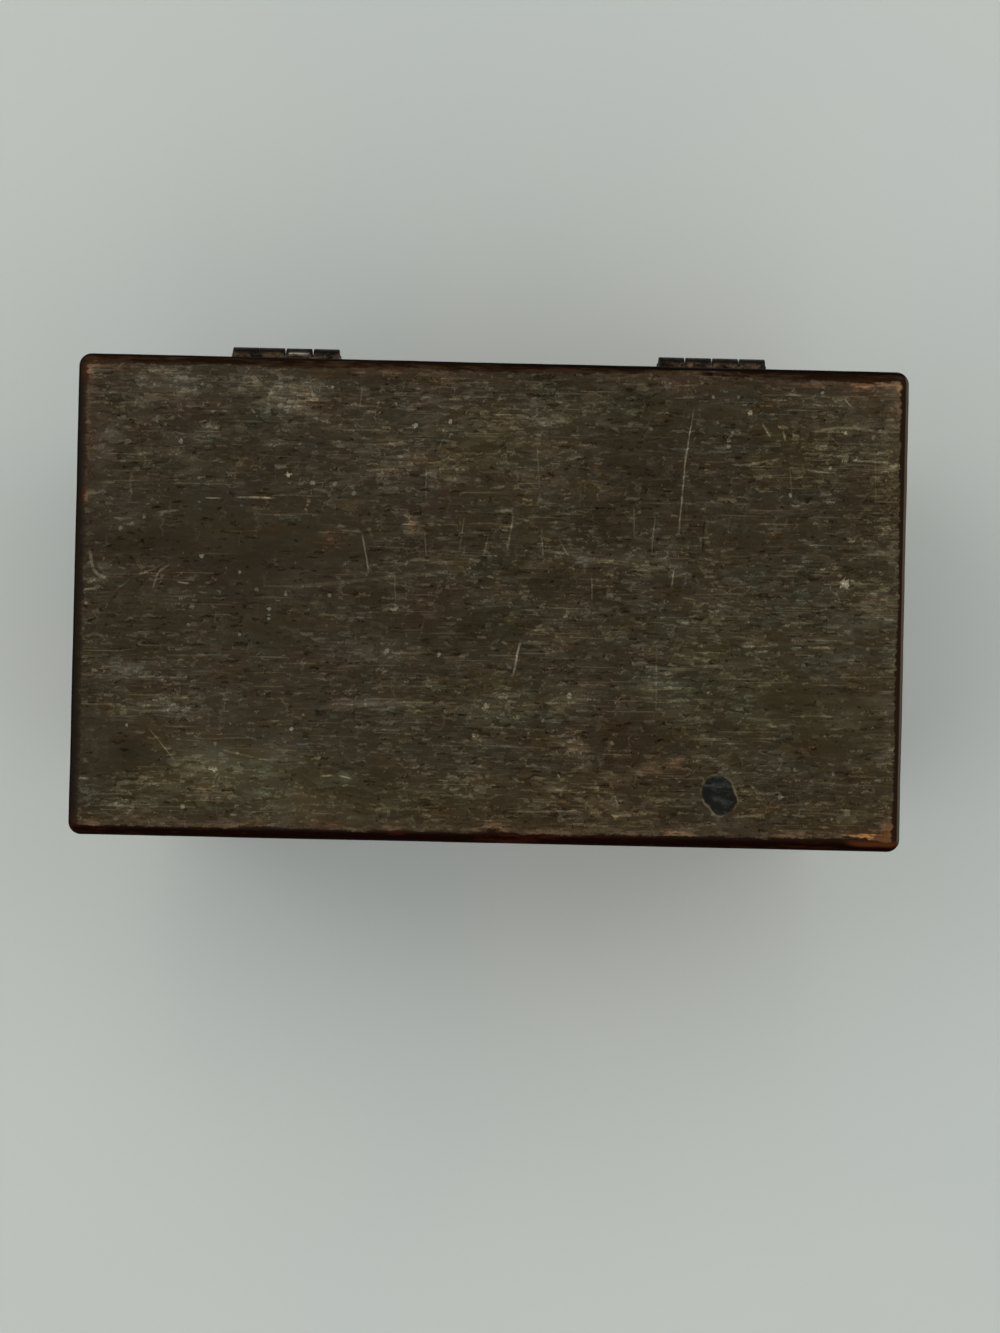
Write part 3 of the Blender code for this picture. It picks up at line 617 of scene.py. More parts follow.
bareWood = {
    "level": 45.0,          # middle brightness of the face, 0 to 255
    "grit": 15.0,           # swing of the finest grain
    "shine": 0.01,
    # how far noise pulls the flakes and the straight marks along and across the grain
    "torn": (4.5, 1.0), "straight": (3.0, 0.2),
    # flakes of old surface: length and height of one, shift, swing in brightness and in hue
    "flakes": ((6.5, 2.6, 3.0, 5.2, 0.46), (2.4, 1.1, 11.0, 8.6, 0.46),
               (1.1, 0.6, 27.0, 11.0, 0.4)),
    # straight fibres: swells per millimetre, shift, detail, cut, softness, how pale
    "fibres": (((0.2, 1.7), 13.0, 2, 0.05, 0.02, 3.6), ((0.13, 2.4), 44.0, 1, 0.12, 0.02, 5.6),
               ((0.5, 2.4), 24.0, 2, 0.09, 0.02, 3.4)),
    # pale marks: length and height of one, shift, share that shows, how pale
    "marks": ((1.9, 0.42, 5.0, 0.05, 14.0), (0.7, 0.45, 19.0, 0.052, 17.0),
              (0.42, 0.36, 71.0, 0.056, 18.0), (5.0, 0.24, 33.0, 0.06, 12.0),
              (4.0, 1.7, 47.0, 0.04, 6.5)),
    "straightFrom": 4.5,    # marks longer than this are cut straight along the grain
    # short dark marks and pale ones across the grain: the same, then how scuffed places add more
    "nicks": ((1.6, 0.34, 53.0, 0.05, -9.0, 0.0), (0.6, 0.4, 61.0, 0.05, -12.0, 0.0),
              (0.36, 2.6, 41.0, 0.03, 11.0, 0.08)),
    # brightness and the colour that is seen there
    "shades": ((14, (11, 8, 5)), (34, (38, 31, 20)), (47, (53, 46, 34)), (60, (68, 61, 48)),
               (78, (86, 79, 64)), (110, (120, 112, 94)), (170, (186, 178, 160))),
    "stain": (22, 23, 21), "dryStain": (27, 20, 15), "paintedStainSheen": (58, 60, 56),
    "dryFrom": (41.8, 42.9),                # millimetres to the right of the middle
    "tideLine": (98, 92, 70),
    "rust": (78, 61, 46), "deepRust": (98, 60, 38),
    "paleOrange": (128, 102, 76), "orange": (168, 120, 68),
    # what is left of the varnish: dark and light streaks in front, behind and at the sides
    "frontVarnish": ((14, 3, 1), (46, 16, 6)), "backVarnish": ((26, 14, 5), (51, 36, 22)),
    "sideVarnish": ((30, 24, 18), (46, 38, 28)), "cornerVarnish": (72, 38, 15),
    "rightVarnish": (34, 22, 13),
    # the outermost rim: dark varnish with painted shade, and on the right a painted highlight
    "darkVarnishAndShadeRim": (9, 6, 4), "paintedHighlightRim": (86, 76, 64),
    "endsFrom": (39.0, 40.2), "highlightRimFrom": (70.4, 70.9),      # millimetres from the middle
}

varnish = {
    "shades": ((30, 12, 8), (50, 22, 13), (76, 37, 20)),
    "wornShades": ((70, 36, 20), (112, 66, 36)), "scuff": (120, 84, 58),
    "endGrain": (14, 7, 5), "endShare": 0.38,       # how dark end grain is, and how much so
    "roughness": 0.42, "shine": 0.3,
    "cornerWear": 1.5, "seamWear": 0.7, "tableWear": 1.1,
    "bareFrom": (1.0, 1.7),     # millimetres inward, where the varnish stops
    "floorBareFrom": (4.4, 4.7),            # and upward, in the base
}

rawWood = {"shades": ((74, 52, 33), (104, 76, 49), (134, 103, 70))}


def rawColour(f, along):
    rings = f.wave(stretched(along, 0.012, 0.22), 4.0, 3, 0.6)
    fibre = f.wave(stretched(along, 0.25, 4.0), 9.0, 2, 0.6)
    pitted = f.fade(f.wave(stretched(along, 0.5, 9.0), 2.0, 1, 0.5), -0.12, -0.2)
    colour = f.colours(0.5 + rings * 1.1 + fibre * 0.7, (0.1, 0.5, 0.9), rawWood["shades"])
    return f.mix(pitted * 0.45, colour, rawWood["shades"][0]), fibre - pitted * 0.5


def makeBoardWood(name, along, bareAbove=None):
    # varnish outside, raw wood inside, worn where hands and the table rub
    f = Finish(name, {"Specular IOR Level": varnish["shine"]})
    rings = f.wave(stretched(along, 0.02, 0.3), 1.0, 3, 0.6)
    fibre = f.wave(stretched(along, 0.2, 3.2), 6.0, 3, 0.65)
    cloud = f.wave(0.09, 3.0, 3, 0.6)
    f.colour = f.colours(0.5 + rings + fibre * 0.55 + cloud * 0.7, (0.12, 0.5, 0.9),
                         varnish["shades"])
    fromSide = halfWidth / mm - abs(f.x)
    fromFront = halfDepth / mm - abs(f.y)
    ragged = f.wave(0.5, 2.0, 4, 0.7) * 3.2 + cloud * 2.4

    # end grain drinks the stain and shows darker
    facing = f.split(f.node("TexCoord", output="Normal"))["xyz".index(along)]
    endGrain = f.fade(abs(facing), 0.75, 0.95)
    f.paint(endGrain * varnish["endShare"], varnish["endGrain"])

    corner = f.fade(f.higher(fromSide, fromFront) + ragged, varnish["cornerWear"], 0.1)
    rubbed = f.fade(abs(f.z - seam / mm) + ragged * 0.5, varnish["seamWear"], 0.15)
    stood = f.fade(abs(f.z) + ragged * 0.6, varnish["tableWear"], 0.3)
    worn = f.higher(f.higher(corner * 0.75, rubbed * 0.7), stood * 0.8)
    f.paint(worn, f.colours(0.5 + fibre * 1.6, (0.2, 0.8), varnish["wornShades"]))

    # thin pale scuffs that wander over the varnish
    drift = f.wave((0.06, 0.035, 0.05), 7.0, 2, 0.5)
    broken = f.fade(f.wave(0.25, 5.0, 2, 0.6), 0.03, 0.14)
    scuff = f.fade(abs(drift - 0.06), 0.0016, 0.0004) * broken
    f.paint(scuff * 0.5, varnish["scuff"])

    inside = f.fade(f.lower(fromSide, fromFront) + ragged * 0.25, *varnish["bareFrom"])
    if bareAbove:
        inside = f.fade(f.z, *bareAbove) * inside
    raw, rawHeight = rawColour(f, along)
    f.paint(inside, raw)
    rough = varnish["roughness"] + cloud * 0.3 + worn * 0.22 + endGrain * 0.12 + scuff * 0.2
    height = fibre * 0.7 + rawHeight * (inside * 0.6) - worn * 0.3 - scuff * 0.4
    return f.wear(f.higher(rough, inside * 0.78), height, 0.09)


def flakyBrightness(f, spec, ragged):
    # brightness of the bare face in steps of 0 to 255, then its hue and its height
    lighter, warmer, scuffs = f.layer("patches")
    calm = f.layer("tones")[2]
    tear = f.node("TexNoise", {"Vector": f.place, "Scale": 0.8, "Detail": 3.0, "Roughness": 0.7},
                  output="Color")
    torn, straight = (f.node("VectorMath", {0: tear, 1: (*spec[pull], 0.0), 2: f.place},
                             operation="MULTIPLY_ADD") for pull in ("torn", "straight"))
    coarse = f.wave((0.09, 0.16, 0.1), 2.0, 2, 0.6)
    grit = f.wave((3.0, 3.1, 2.6), 1.0, 2, 0.8)

    # flat flakes of three sizes; the brightest and the most varied lie in the pale patches
    stirred = 1.0 - calm * 0.45
    busy = f.higher(0.9 + lighter * 0.011 + coarse * 1.9, 0.4) * stirred
    level = spec["level"] + grit * spec["grit"] * stirred + coarse * 8.0 + calm
    hue = warmer * 0.08 - 0.02 + f.wave((0.06, 0.1, 0.1), 17.0, 3, 0.6) * 0.85
    paleShare = 0.85
    for long, high, shift, swing, tinge in spec["flakes"]:
        first, second, _ = f.cells(torn, long, high, shift)
        skewed = f.calc("POWER", first, 3.0) - 0.25
        level += skewed * swing * busy
        paleShare += skewed * 0.3
        hue += (second - 0.5) * tinge
    # in a calm place a pale patch is even, elsewhere only some of its flakes are pale
    evened = 0.95 + (paleShare - 0.95) * (stirred * stirred)
    level += lighter * f.higher(evened, 0.1)
    height = level * 0.02
    for stretch, shift, detail, cut, soft, pale in spec["fibres"]:
        bared = f.fade(f.wave((*stretch, 0.3), shift, detail, 0.66), cut, cut + soft)
        level += bared * pale * (busy * stirred)
    for long, high, shift, share, pale in spec["marks"]:
        place = straight if long > spec["straightFrom"] else torn
        first, second, third = f.cells(place, long, high, shift)
        shown = first + busy * 0.09 + lighter * 0.003
        mark = f.fade(shown, 1.08 - share, 1.095 - share) * (0.5 + second)
        level += mark * pale
        hue += mark * (third - 0.5) * 0.4
    for long, high, shift, share, pale, scuffed in spec["nicks"]:
        first, second, _ = f.cells(torn, long, high, shift)
        shown = first + scuffs * scuffed
        level += f.fade(shown, 1.0 - share, 1.01 - share) * (0.5 + second) * pale

    marks = 0.0
    for i in range(lidFace["scratchLayers"]):
        offset, strength, width = f.layer(f"scratches{i}")
        wobble = offset + f.wave(0.8, 3.0 + i, 2, 0.5) * 0.25
        dashed = f.fade(f.wave(0.7, 8.0 + i, 2, 0.6), -0.18, 0.04, 0.4, 1.0)
        marks += f.fade(abs(wobble) / (width + 0.001), 1.5, 0.6) * strength * dashed
    speckX, speckY, speckPale = f.layer("specks")
    speckAway = f.node("VectorMath", {0: f.node("CombineXYZ", {0: speckX, 1: speckY})},
                       output="Value", operation="LENGTH")
    speck = f.fade(speckAway + ragged * 2.6, 1.15, 0.8) * speckPale
    grain, away = f.node("TexVoronoi", {"Vector": f.place, "Scale": 0.42, "Randomness": 1.0},
                         output=("Color", "Distance"))
    dust = f.fade(away, 0.11, 0.05) * f.fade(f.split(grain)[0], 0.72, 1.0)
    level = level + marks * 1.3 + speck * 1.25 + dust * 26.0
    return level, hue, height - marks * 0.012 - speck * 0.01


def paintBareWood(f, spec, level, hue):
    values, shades = zip(*spec["shades"])
    low, high = values[0], values[-1]
    places = [(value - low) / (high - low) for value in values]
    f.colour = f.colours(f.fade(level, low, high, smooth=False), places, shades)

    # a little redder, more olive or greyer from flake to flake
    for start, end, shade in ((0.0, 0.5, (1.04, 1.01, 0.87)), (0.35, 1.0, (1.16, 0.93, 0.9)),
                              (0.0, -0.8, (0.9, 1.02, 1.1))):
        f.paint(f.fade(hue, start, end, smooth=False), (*shade, 1), "MULTIPLY")

    olive, redder, _ = f.layer("tones")
    olive += f.wave((0.05, 0.08, 0.1), 29.0, 3, 0.65) * 4.5
    redder += f.wave((0.09, 0.16, 0.1), 35.0, 4, 0.7) * 5.0
    for amount, less, more in ((olive, (1.0, 0.98, 1.07), (1.0, 1.03, 0.9)),
                               (redder, (0.955, 1.02, 1.03), (1.07, 0.965, 0.93))):
        cast = f.mix(f.fade(amount, -1.0, 1.5, smooth=False), (*less, 1), (*more, 1))
        f.paint(1.0, cast, "MULTIPLY")


def paintStain(f, spec, ragged):
    # joined drops of something dark, with a pale tide line and a painted sheen
    around = 9.0
    for across, down, radius in lidFace["stain"]:
        cx, cy = lidPoint(across, down)
        away = f.node("VectorMath", {0: f.place, 1: (cx / mm, cy / mm, panelHigh.z / mm)},
                      output="Value", operation="DISTANCE")
        around = f.calc("SMOOTH_MIN", around, away - radius, 0.9)
    around += f.wave(0.7, 12.0, 3, 0.6) * 0.7
    tide = f.fade(abs(around - 0.25), 0.25, 0.05) * f.fade(f.wave(0.5, 25.0, 3, 0.6), -0.1, 0.1)
    f.paint(tide * 0.75, spec["tideLine"])
    stained = f.fade(around, 0.15, -0.1)
    # a painted sheen: blue-grey streaks in the stain's colour stand for its reflection
    sheen = f.fade(f.wave((0.35, 0.8, 0.5), 14.0, 3, 0.7), -0.04, 0.24)
    dry = f.fade(f.x + ragged * 3.0, *spec["dryFrom"])
    tone = f.mix(sheen * f.fade(dry, 1.0, 0.0, 0.2, 1.0),
                 f.mix(dry, spec["stain"], spec["dryStain"]), spec["paintedStainSheen"])
    f.paint(stained * 0.95, tone)
    return stained


def paintEdges(f, spec, ragged, fine):
    # rusty worn wood and a thin broken orange line, then the varnish left round the edge
    inward, varnishWidth, worn = f.layer("edges")
    streak = f.wave((0.16, 1.1, 0.3), 21.0, 3, 0.75)
    ripple = streak * 1.6 + f.wave(0.5, 9.0, 3, 0.7) * 1.6 + ragged * 0.3
    boundary = inward + ripple * 0.8 - varnishWidth
    reach = f.fade(boundary, 2.6, 0.2)
    rusty = reach * worn * (0.45 + fine * 2.4 + streak * 2.2)
    strong = f.fade(worn, 0.7, 1.8)
    f.paint(f.lower(f.higher(rusty, 0.0), 0.7), f.mix(strong, spec["rust"], spec["deepRust"]))
    line = f.fade(abs(boundary - 0.42), 0.3, 0.06)
    streaks = f.fade(streak + f.fade(boundary, 2.4, 0.3) * 0.06, 0.03, 0.09)
    broken = f.fade(f.wave((0.22, 0.5, 0.3), 31.0, 3, 0.7), -0.06, 0.13, 0.04, 1.0)
    bared = f.higher(f.higher(line, streaks * reach) * worn * broken, 0.0)
    f.paint(f.lower(bared, 0.9), f.mix(strong, spec["paleOrange"], spec["orange"]))

    glossy = f.wave((0.12, 0.9, 0.5), 37.0, 3, 0.7)
    toFace = f.fade(boundary, -0.9, 0.3)
    # in front, behind and at the sides: where its light streaks are, where its corners are worn
    front, back, side = (
        f.mix(f.fade(worn, *wornFrom), f.mix(light, *spec[shades]), spec["cornerVarnish"])
        for shades, light, wornFrom in (
            ("frontVarnish", f.fade(glossy, 0.02, 0.2), (0.5, 1.2)),
            ("backVarnish", f.fade(glossy + toFace * 0.14, -0.04, 0.16), (0.25, 1.2)),
            ("sideVarnish", toFace, (0.1, 1.1))))
    onRight = f.fade(f.x, 0.0, 1.0)
    side = f.mix(onRight, side, spec["rightVarnish"])
    # painted shade on the outermost rim, and on the right a painted highlight instead
    rimShadeAndHighlight = f.mix(f.fade(f.x, *spec["highlightRimFrom"]), spec["darkVarnishAndShadeRim"], spec["paintedHighlightRim"])
    tone = f.mix(f.fade(f.y, *spec["endsFrom"]), side, back)
    tone = f.mix(f.fade(inward - onRight * 0.22, 0.65, 0.3), tone, rimShadeAndHighlight)
    tone = f.mix(f.fade(f.y, *(-place for place in spec["endsFrom"])), tone, front)
    leftOver = f.fade(boundary, 0.2, -0.12)
    f.paint(leftOver, tone)
    return leftOver


def makeLidWood(spec):
    f = Finish("bareLidWood", {"Specular IOR Level": spec["shine"]})
    ragged = f.wave(2.2, 6.0, 2, 0.6)
    fine = f.wave((0.7, 1.6, 1.0), 4.0, 3, 0.8)
    level, hue, height = flakyBrightness(f, spec, ragged)
    paintBareWood(f, spec, level, hue)
    stained = paintStain(f, spec, ragged)
    leftOver = paintEdges(f, spec, ragged, fine)
    # the underside was never finished
    foot = panelLow.z / mm
    f.paint(f.fade(f.z, foot + 0.2, foot - 0.1), rawColour(f, "x")[0])
    roughness = 0.8 - leftOver * 0.3 - stained * 0.2 + fine * 0.1
    return f.wear(roughness, height + leftOver * 0.25, 0.07)


# the finger-jointed boards

case = {
    "fingerHeight": 6.35,       # every finger, and with it the heights of body and lid
    "bodyFingers": 11, "lidFingers": 2,
    "thickness": 6.35,
    "cornerRadius": 2.2, "cornerSegments": 10,
    "jointLine": 0.05,          # open line round each finger
    "edgeEase": 0.09,           # the slight rounding of every sawn edge
    "rimEase": 0.5,             # inner edge of both rims
    "sunk": (0.0, 0.05),        # how far finger ends sit below flush
}


def fingerEnd(reach, count, ownsFirst, name):
    # points up one end of a board, each finger cut a hair shorter or longer than the next
    joint = case["jointLine"] * mm
    step = case["fingerHeight"] * mm
    low, high = case["sunk"]
    points = []
    for i in range(count):
        own = (i % 2 == 0) == ownsFirst
        shift = noise.noise((i * 1.7, reach * 900, len(name) * 0.37)) * 0.5 + 0.5
        sunk = low + (high - low) * shift
        x = reach - sunk * mm if own else reach - case["thickness"] * mm - joint
        slack = joint / 2 if own else -joint / 2
        bottom = i * step + (slack if i > 0 else 0)
        top = (i + 1) * step - (slack if i < count - 1 else 0)
        points += [(x, bottom), (x, top)]
    return points


def rimCutter(rim, way):
    # a shallow funnel that takes the sharp inner edge off a rim
    ease, over = case["rimEase"] * mm, 1.0 * mm
    rings = []
    for step in (-over, ease + over):
        x = halfWidth - case["thickness"] * mm + step
        y = halfDepth - case["thickness"] * mm + step
        z = rim + way * (step - ease)
        rings.append([(-x, -y, z), (x, -y, z), (x, y, z), (-x, y, z)])
    return joined(rings)


def buildBoard(name, side, foot, count, ownsFirst, rim, way, material, body, node):
    # side counts the quarter turns from the front
    reach, out = (halfWidth, halfDepth) if side % 2 == 0 else (halfDepth, halfWidth)
    right = fingerEnd(reach, count, ownsFirst, name)
    left = [(-x, z) for x, z in reversed(fingerEnd(reach, count, ownsFirst, name + "x"))]
    bm = extruded([(x, 0, z) for x, z in right + left], (0, case["thickness"] * mm, 0))
    roundEdges(bm, case["cornerRadius"] * mm, case["cornerSegments"],
               lambda a, b: (at(a.x, b.x) and at(a.y, 0) and at(b.y, 0)
                             and abs(a.x) > reach - 0.1 * mm))
    move = Matrix.Rotation(side * math.pi / 2, 4, "Z") @ Matrix.Translation((0, -out, foot))
    bm.transform(move)
    bm = carved(bm, [rimCutter(rim, way)])
    roundEdges(bm, case["edgeEase"] * mm, 2, sharper=30)
    return addPiece(name, meshFromBmesh(name, bm), material, body, "varnished_wood", node)


def buildCase(longWood, shortWood):
    for side, place in enumerate(("front", "right", "back", "left")):
        alongWidth = side % 2 == 0
        wood = longWood if alongWidth else shortWood
        buildBoard(place + "Board", side, wallLow.z, case["bodyFingers"], alongWidth,
                   wallHigh.z, 1, wood, "box", place + "_wall")
        buildBoard(place + "LidRail", side, railLow.z, case["lidFingers"], not alongWidth,
                   railLow.z, -1, wood, "lid", f"lid_{place}_rail")


base = {"cornerSegments": 10, "bottomRound": 1.1, "roundSegments": 6, "glueLine": 0.05}


def buildBase(material):
    # the bottom board, its lower edge rounded; it reaches up to the walls' glue line
    low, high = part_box("bottom_panel")
    top = wallLow.z - base["glueLine"] * mm
    bm = blockBetween(low, (high.x, high.y, top))
    roundEdges(bm, case["cornerRadius"] * mm, base["cornerSegments"],
               lambda a, b: at(a.x, b.x) and at(a.y, b.y))
    roundEdges(bm, base["bottomRound"] * mm, base["roundSegments"],
               lambda a, b: at(a.z, low.z) and at(b.z, low.z))
    roundEdges(bm, case["edgeEase"] * mm, 2, lambda a, b: at(a.z, top) and at(b.z, top), 30)
    mesh = meshFromBmesh("baseBoard", bm)
    return addPiece("baseBoard", mesh, material, "box", "varnished_wood", "bottom_panel")


# the two butt hinges

hinge = {
    "sizes": {                      # millimetres
        "plate": 0.9,               # thickness of the rolled metal
        "plateFace": 1.1,           # from the pin's axis to the plate's outer face
        "reach": 8.6,               # from the pin to the plate's free edge
        "cornerRadius": 0.8,
        "bore": 1.06, "pin": 1.02, "pinOverhang": 0.4,
        "curlStop": 0.2,            # the roll ends this far short of the bore's edge
        "backing": 0.28,            # fills the way to the wood behind the plate
        "plateFoot": 0.4,           # where the plate leaves the knuckle
        "edgeEase": 0.1,
        "notchGap": 0.26,           # round the other leaf's knuckles
        "notchRoom": 0.3,           # the same where the screws' places are worked out
        "screwInset": 4.2, "screwHead": 1.65, "screwShank": 0.75, "screwLength": 5.6,
        "headSink": 0.1, "countersinkSpare": 0.07, "holeSpare": 0.1,
        "slotWidth": 0.45, "slotDepth": 0.4,
        "threadPitch": 0.5, "screwTip": 1.6, "headEase": 0.035,
    },
    "knuckles": 4,
    "knuckleGaps": {"left": (0.05, 0.34, 0.34), "right": (0.3, 0.3, 0.3)},
    "curlStep": 5, "slotTurn": 50,  # degrees; the second from one screw to the next
    "sides": 48, "pinSides": 32, "cornerSegments": 8,
    # behind the plate's foot: share of the backing, height
    "backFoot": ((1.0, 1.3), (0.45, 0.55)),
    # a screw head's rim: place along the screw, how much wider than the head
    "headRim": ((-0.16, -0.1), (-0.1, 0), (-0.03, -0.05), (0, -0.22)),
    # place, share of the full radius
    "headFace": ((0.02, 0.5), (0.025, 0.12)),
    "pinEnd": ((0, 0.35), (0.05, 0.62), (0.16, 0.85), (0.34, 1.0)),
    "metals": {
        "tarnishedHingeBrass": ((14, 10, 6), (34, 26, 17), (72, 57, 41)),
        "tarnishedScrewBrass": ((26, 21, 17), (54, 46, 37), (98, 86, 70)),
        "dullPinSteel": ((52, 49, 46), (86, 82, 77), (132, 128, 122)),
    },
    # painted shade on the back half of each knuckle, then the grime
    "shade": (7, 6, 5), "grime": (14, 11, 9),
    # the one bright knuckle: polished, with a painted highlight band and line along its top
    "highlightKnuckleAcross": -35.2, "highlightBehind": 0.85,
    "polishAndHighlight": (80, 70, 60), "paintedHighlightLine": (132, 123, 113),
}


def hingeSizes():
    # the knuckle's outside and the screws' places follow from the rolled metal
    spec = {key: value * mm for key, value in hinge["sizes"].items()}
    low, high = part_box("left_upper_leaf")
    spec["length"] = high.x - low.x
    spec["outside"] = spec["plateFace"] + spec["plate"]
    spec["axisY"], spec["axisZ"] = high.y - spec["outside"], seam
    notch = math.sqrt((spec["outside"] + spec["notchRoom"]) ** 2 - spec["plateFace"] ** 2)
    spec["screwHeight"] = (notch + spec["reach"]) / 2
    spec["screwAcross"] = spec["length"] / 2 - spec["screwInset"]
    return spec


def leafShape(spec, kept, gaps):
    # a strip rolled round the pin at its foot, notched for the other leaf's knuckles
    outside, bore, face, reach = (spec[key] for key in ("outside", "bore", "plateFace", "reach"))
    stop = math.tau + math.acos(-(bore - spec["curlStop"]) / outside)
    steps = round(math.degrees(stop - math.pi) / hinge["curlStep"])
    turns = [math.pi + (stop - math.pi) * i / steps for i in range(steps + 1)]
    outer = [(outside * math.cos(a), outside * math.sin(a)) for a in turns]
    inner = [(bore * math.cos(a), bore * math.sin(a)) for a in reversed(turns)]
    plate = [(-face, spec["plateFoot"]), (-face, reach), (-outside - spec["backing"], reach)]
    plate += [(-outside - spec["backing"] * share, up * mm) for share, up in hinge["backFoot"]]
    half = spec["length"] / 2
    bm = extruded([(-half, y, z) for y, z in outer + inner + plate], (spec["length"], 0, 0))
    roundEdges(bm, spec["cornerRadius"], hinge["cornerSegments"],
               lambda a, b: at(a.x, b.x) and at(a.z, reach) and at(b.z, reach))
    cutters = []
    over = 1 * mm
    side = outside + over
    height = math.sqrt((outside + spec["notchGap"]) ** 2 - face**2)
    wide = (spec["length"] - sum(gaps) * mm) / hinge["knuckles"]
    starts = [-half]
    for gap in gaps:
        starts.append(starts[-1] + (wide + gap * mm))
    ends = [start + wide for start in starts]
    for mine, low, high in zip(kept, [-half - over] + ends[:-1], starts[1:] + [half + over]):
        if not mine:        # cut from the knuckle before to the next one
            cutters.append(blockBetween((low, -side, -side), (high, side, height)))
    head = spec["screwHead"] + spec["countersinkSpare"]
    shank = spec["screwShank"] + spec["holeSpare"]
    cone = spec["screwHead"] - spec["screwShank"]
    for across in (-spec["screwAcross"], spec["screwAcross"]):
        hole = turned([(-3 * mm, shank), (-cone, shank), (0, head), (over, head)],
                      hinge["sides"])
        bmesh.ops.translate(hole, verts=hole.verts,
                            vec=(across, -face - spec["headSink"], spec["screwHeight"]))
        cutters.append(hole)
    bm = carved(bm, cutters)
    roundEdges(bm, spec["edgeEase"], 2, sharper=30)
    return bm


def screwShape(spec):
    head, shank, length = spec["screwHead"], spec["screwShank"], spec["screwLength"]
    pitch, neck = spec["threadPitch"], shank - head
    turn = spec["screwTip"] - length
    profile = [(-length, 0.15 * mm), (turn - 0.2 * mm, shank * 0.8)]
    while turn < neck - pitch:      # shallow ridges for the thread
        profile += [(turn, shank), (turn + pitch / 2, shank * 0.78)]
        turn += pitch
    profile += [(neck, shank)] + [(y * mm, head + wider * mm) for y, wider in hinge["headRim"]]
    profile += [(y * mm, head * share) for y, share in hinge["headFace"]]
    slot = blockBetween((-3 * mm, -spec["slotDepth"], -spec["slotWidth"] / 2),
                        (3 * mm, 1 * mm, spec["slotWidth"] / 2))
    bm = carved(turned(profile, hinge["sides"]), [slot])
    roundEdges(bm, spec["headEase"], 1, lambda a, b: a.y > -0.05 * mm, 50)
    return bm


def pinShape(spec):
    reach, radius = spec["length"] / 2 + spec["pinOverhang"], spec["pin"]
    profile = [(y * mm - reach, radius * share) for y, share in hinge["pinEnd"]]
    profile += [(-y, wide) for y, wide in reversed(profile)]
    bm = turned(profile, hinge["pinSides"])
    bm.transform(Matrix.Rotation(math.pi / 2, 4, "Z"))
    return bm


def makeHingeMetal(name, shades, spec):
    # dark tarnish, brighter where the knuckles and the plate's edges are rubbed
    f = Finish(name, {"Metallic": 0.85, "Specular IOR Level": 0.15})
    cloud = f.wave(0.35, 2.0, 4, 0.65)
    mottle = f.wave(1.6, 5.0, 3, 0.7)
    brushed = f.wave((0.3, 7.0, 7.0), 8.0, 2, 0.6)
    value = 0.45 + cloud * 1.5 + mottle * 0.9 + brushed * 0.3
    f.colour = f.colours(value, (0.15, 0.5, 0.85), shades)
    outY, outZ = f.y - spec["axisY"] / mm, f.z - spec["axisZ"] / mm
    away = f.calc("SQRT", outY * outY + outZ * outZ)
    crown = f.fade(away, 1.82, 1.96) * f.fade(away, 2.3, 2.1)
    rubbed = crown * f.fade(outY, -0.6, 0.2) * f.fade(cloud + mottle, -0.2, 0.3)
    f.paint(rubbed * 0.5, shades[-1])
    # painted shade: the back half of each knuckle is darkened as if turned from the light
    f.paint(f.fade(away, 2.3, 2.0) * f.fade(outY, 0.7, 1.35) * 0.9, hinge["shade"])
    # one knuckle is polished along its top, with a painted highlight band and line on it
    across, behind = abs(f.x - hinge["highlightKnuckleAcross"]), abs(outY - hinge["highlightBehind"])
    knuckle = f.fade(across + mottle * 1.5, 2.0, 1.6) * f.fade(outZ, 0.8, 1.3)
    f.paint(knuckle * f.fade(behind, 0.55, 0.35, 0.0, 0.55), hinge["polishAndHighlight"])
    f.paint(knuckle * f.fade(behind, 0.2, 0.08), hinge["paintedHighlightLine"])
    f.paint(f.fade(away, 2.4, 3.4) * 0.3, shades[-1])
    grime = f.fade(cloud + mottle * 0.5, -0.02, -0.2)
    f.paint(grime * 0.6, hinge["grime"])
    roughness = 0.46 + cloud * 0.35 + grime * 0.25 - rubbed * 0.12
    return f.wear(roughness, mottle * 0.8 + brushed * 0.3 + cloud * 0.6, 0.008)


def buildHinges():
    spec = hingeSizes()
    leafMetal, screwMetal, pinMetal = (makeHingeMetal(name, shades, spec)
                                       for name, shades in hinge["metals"].items())
    onLid = [i % 2 == 1 for i in range(hinge["knuckles"])]
    onBody = [not mine for mine in reversed(onLid)]
    halfTurn = Matrix.Rotation(math.pi, 4, "Y")
    levels = (("upper", onLid, "lid", 1, Matrix()), ("lower", onBody, "box", -1, halfTurn))
    for side in ("left", "right"):
        low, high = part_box(side + "_upper_leaf")
        middle = Vector(((low.x + high.x) / 2, spec["axisY"], spec["axisZ"]))
        moved = Matrix.Translation(middle)
        for row, (level, kept, body, way, turn) in enumerate(levels):
            bm = leafShape(spec, kept, hinge["knuckleGaps"][side][::way])
            bm.transform(moved @ turn)
            addPiece(f"{side}{level.title()}Leaf", meshFromBmesh("leaf", bm), leafMetal, body,
                     "tarnished_brass", f"{side}_{level}_leaf")
            for number, across in ((1, -spec["screwAcross"]), (2, spec["screwAcross"])):
                slotTurn = math.radians((2 * row + number) * hinge["slotTurn"])
                place = middle + Vector((across, -spec["plateFace"] - spec["headSink"],
                                         way * spec["screwHeight"]))
                bm = screwShape(spec)
                bm.transform(Matrix.Translation(place) @ Matrix.Rotation(slotTurn, 4, "Y"))
                addPiece(f"{side}{level.title()}Screw{number}", meshFromBmesh("screw", bm),
                         screwMetal, body, "tarnished_brass", f"{side}_{level}_screw_{number}")
        bm = pinShape(spec)
        bm.transform(moved)
        addPiece(side + "HingePin", meshFromBmesh("pin", bm), pinMetal, "box", "dull_steel",
                 side + "_hinge_pin")


# building it

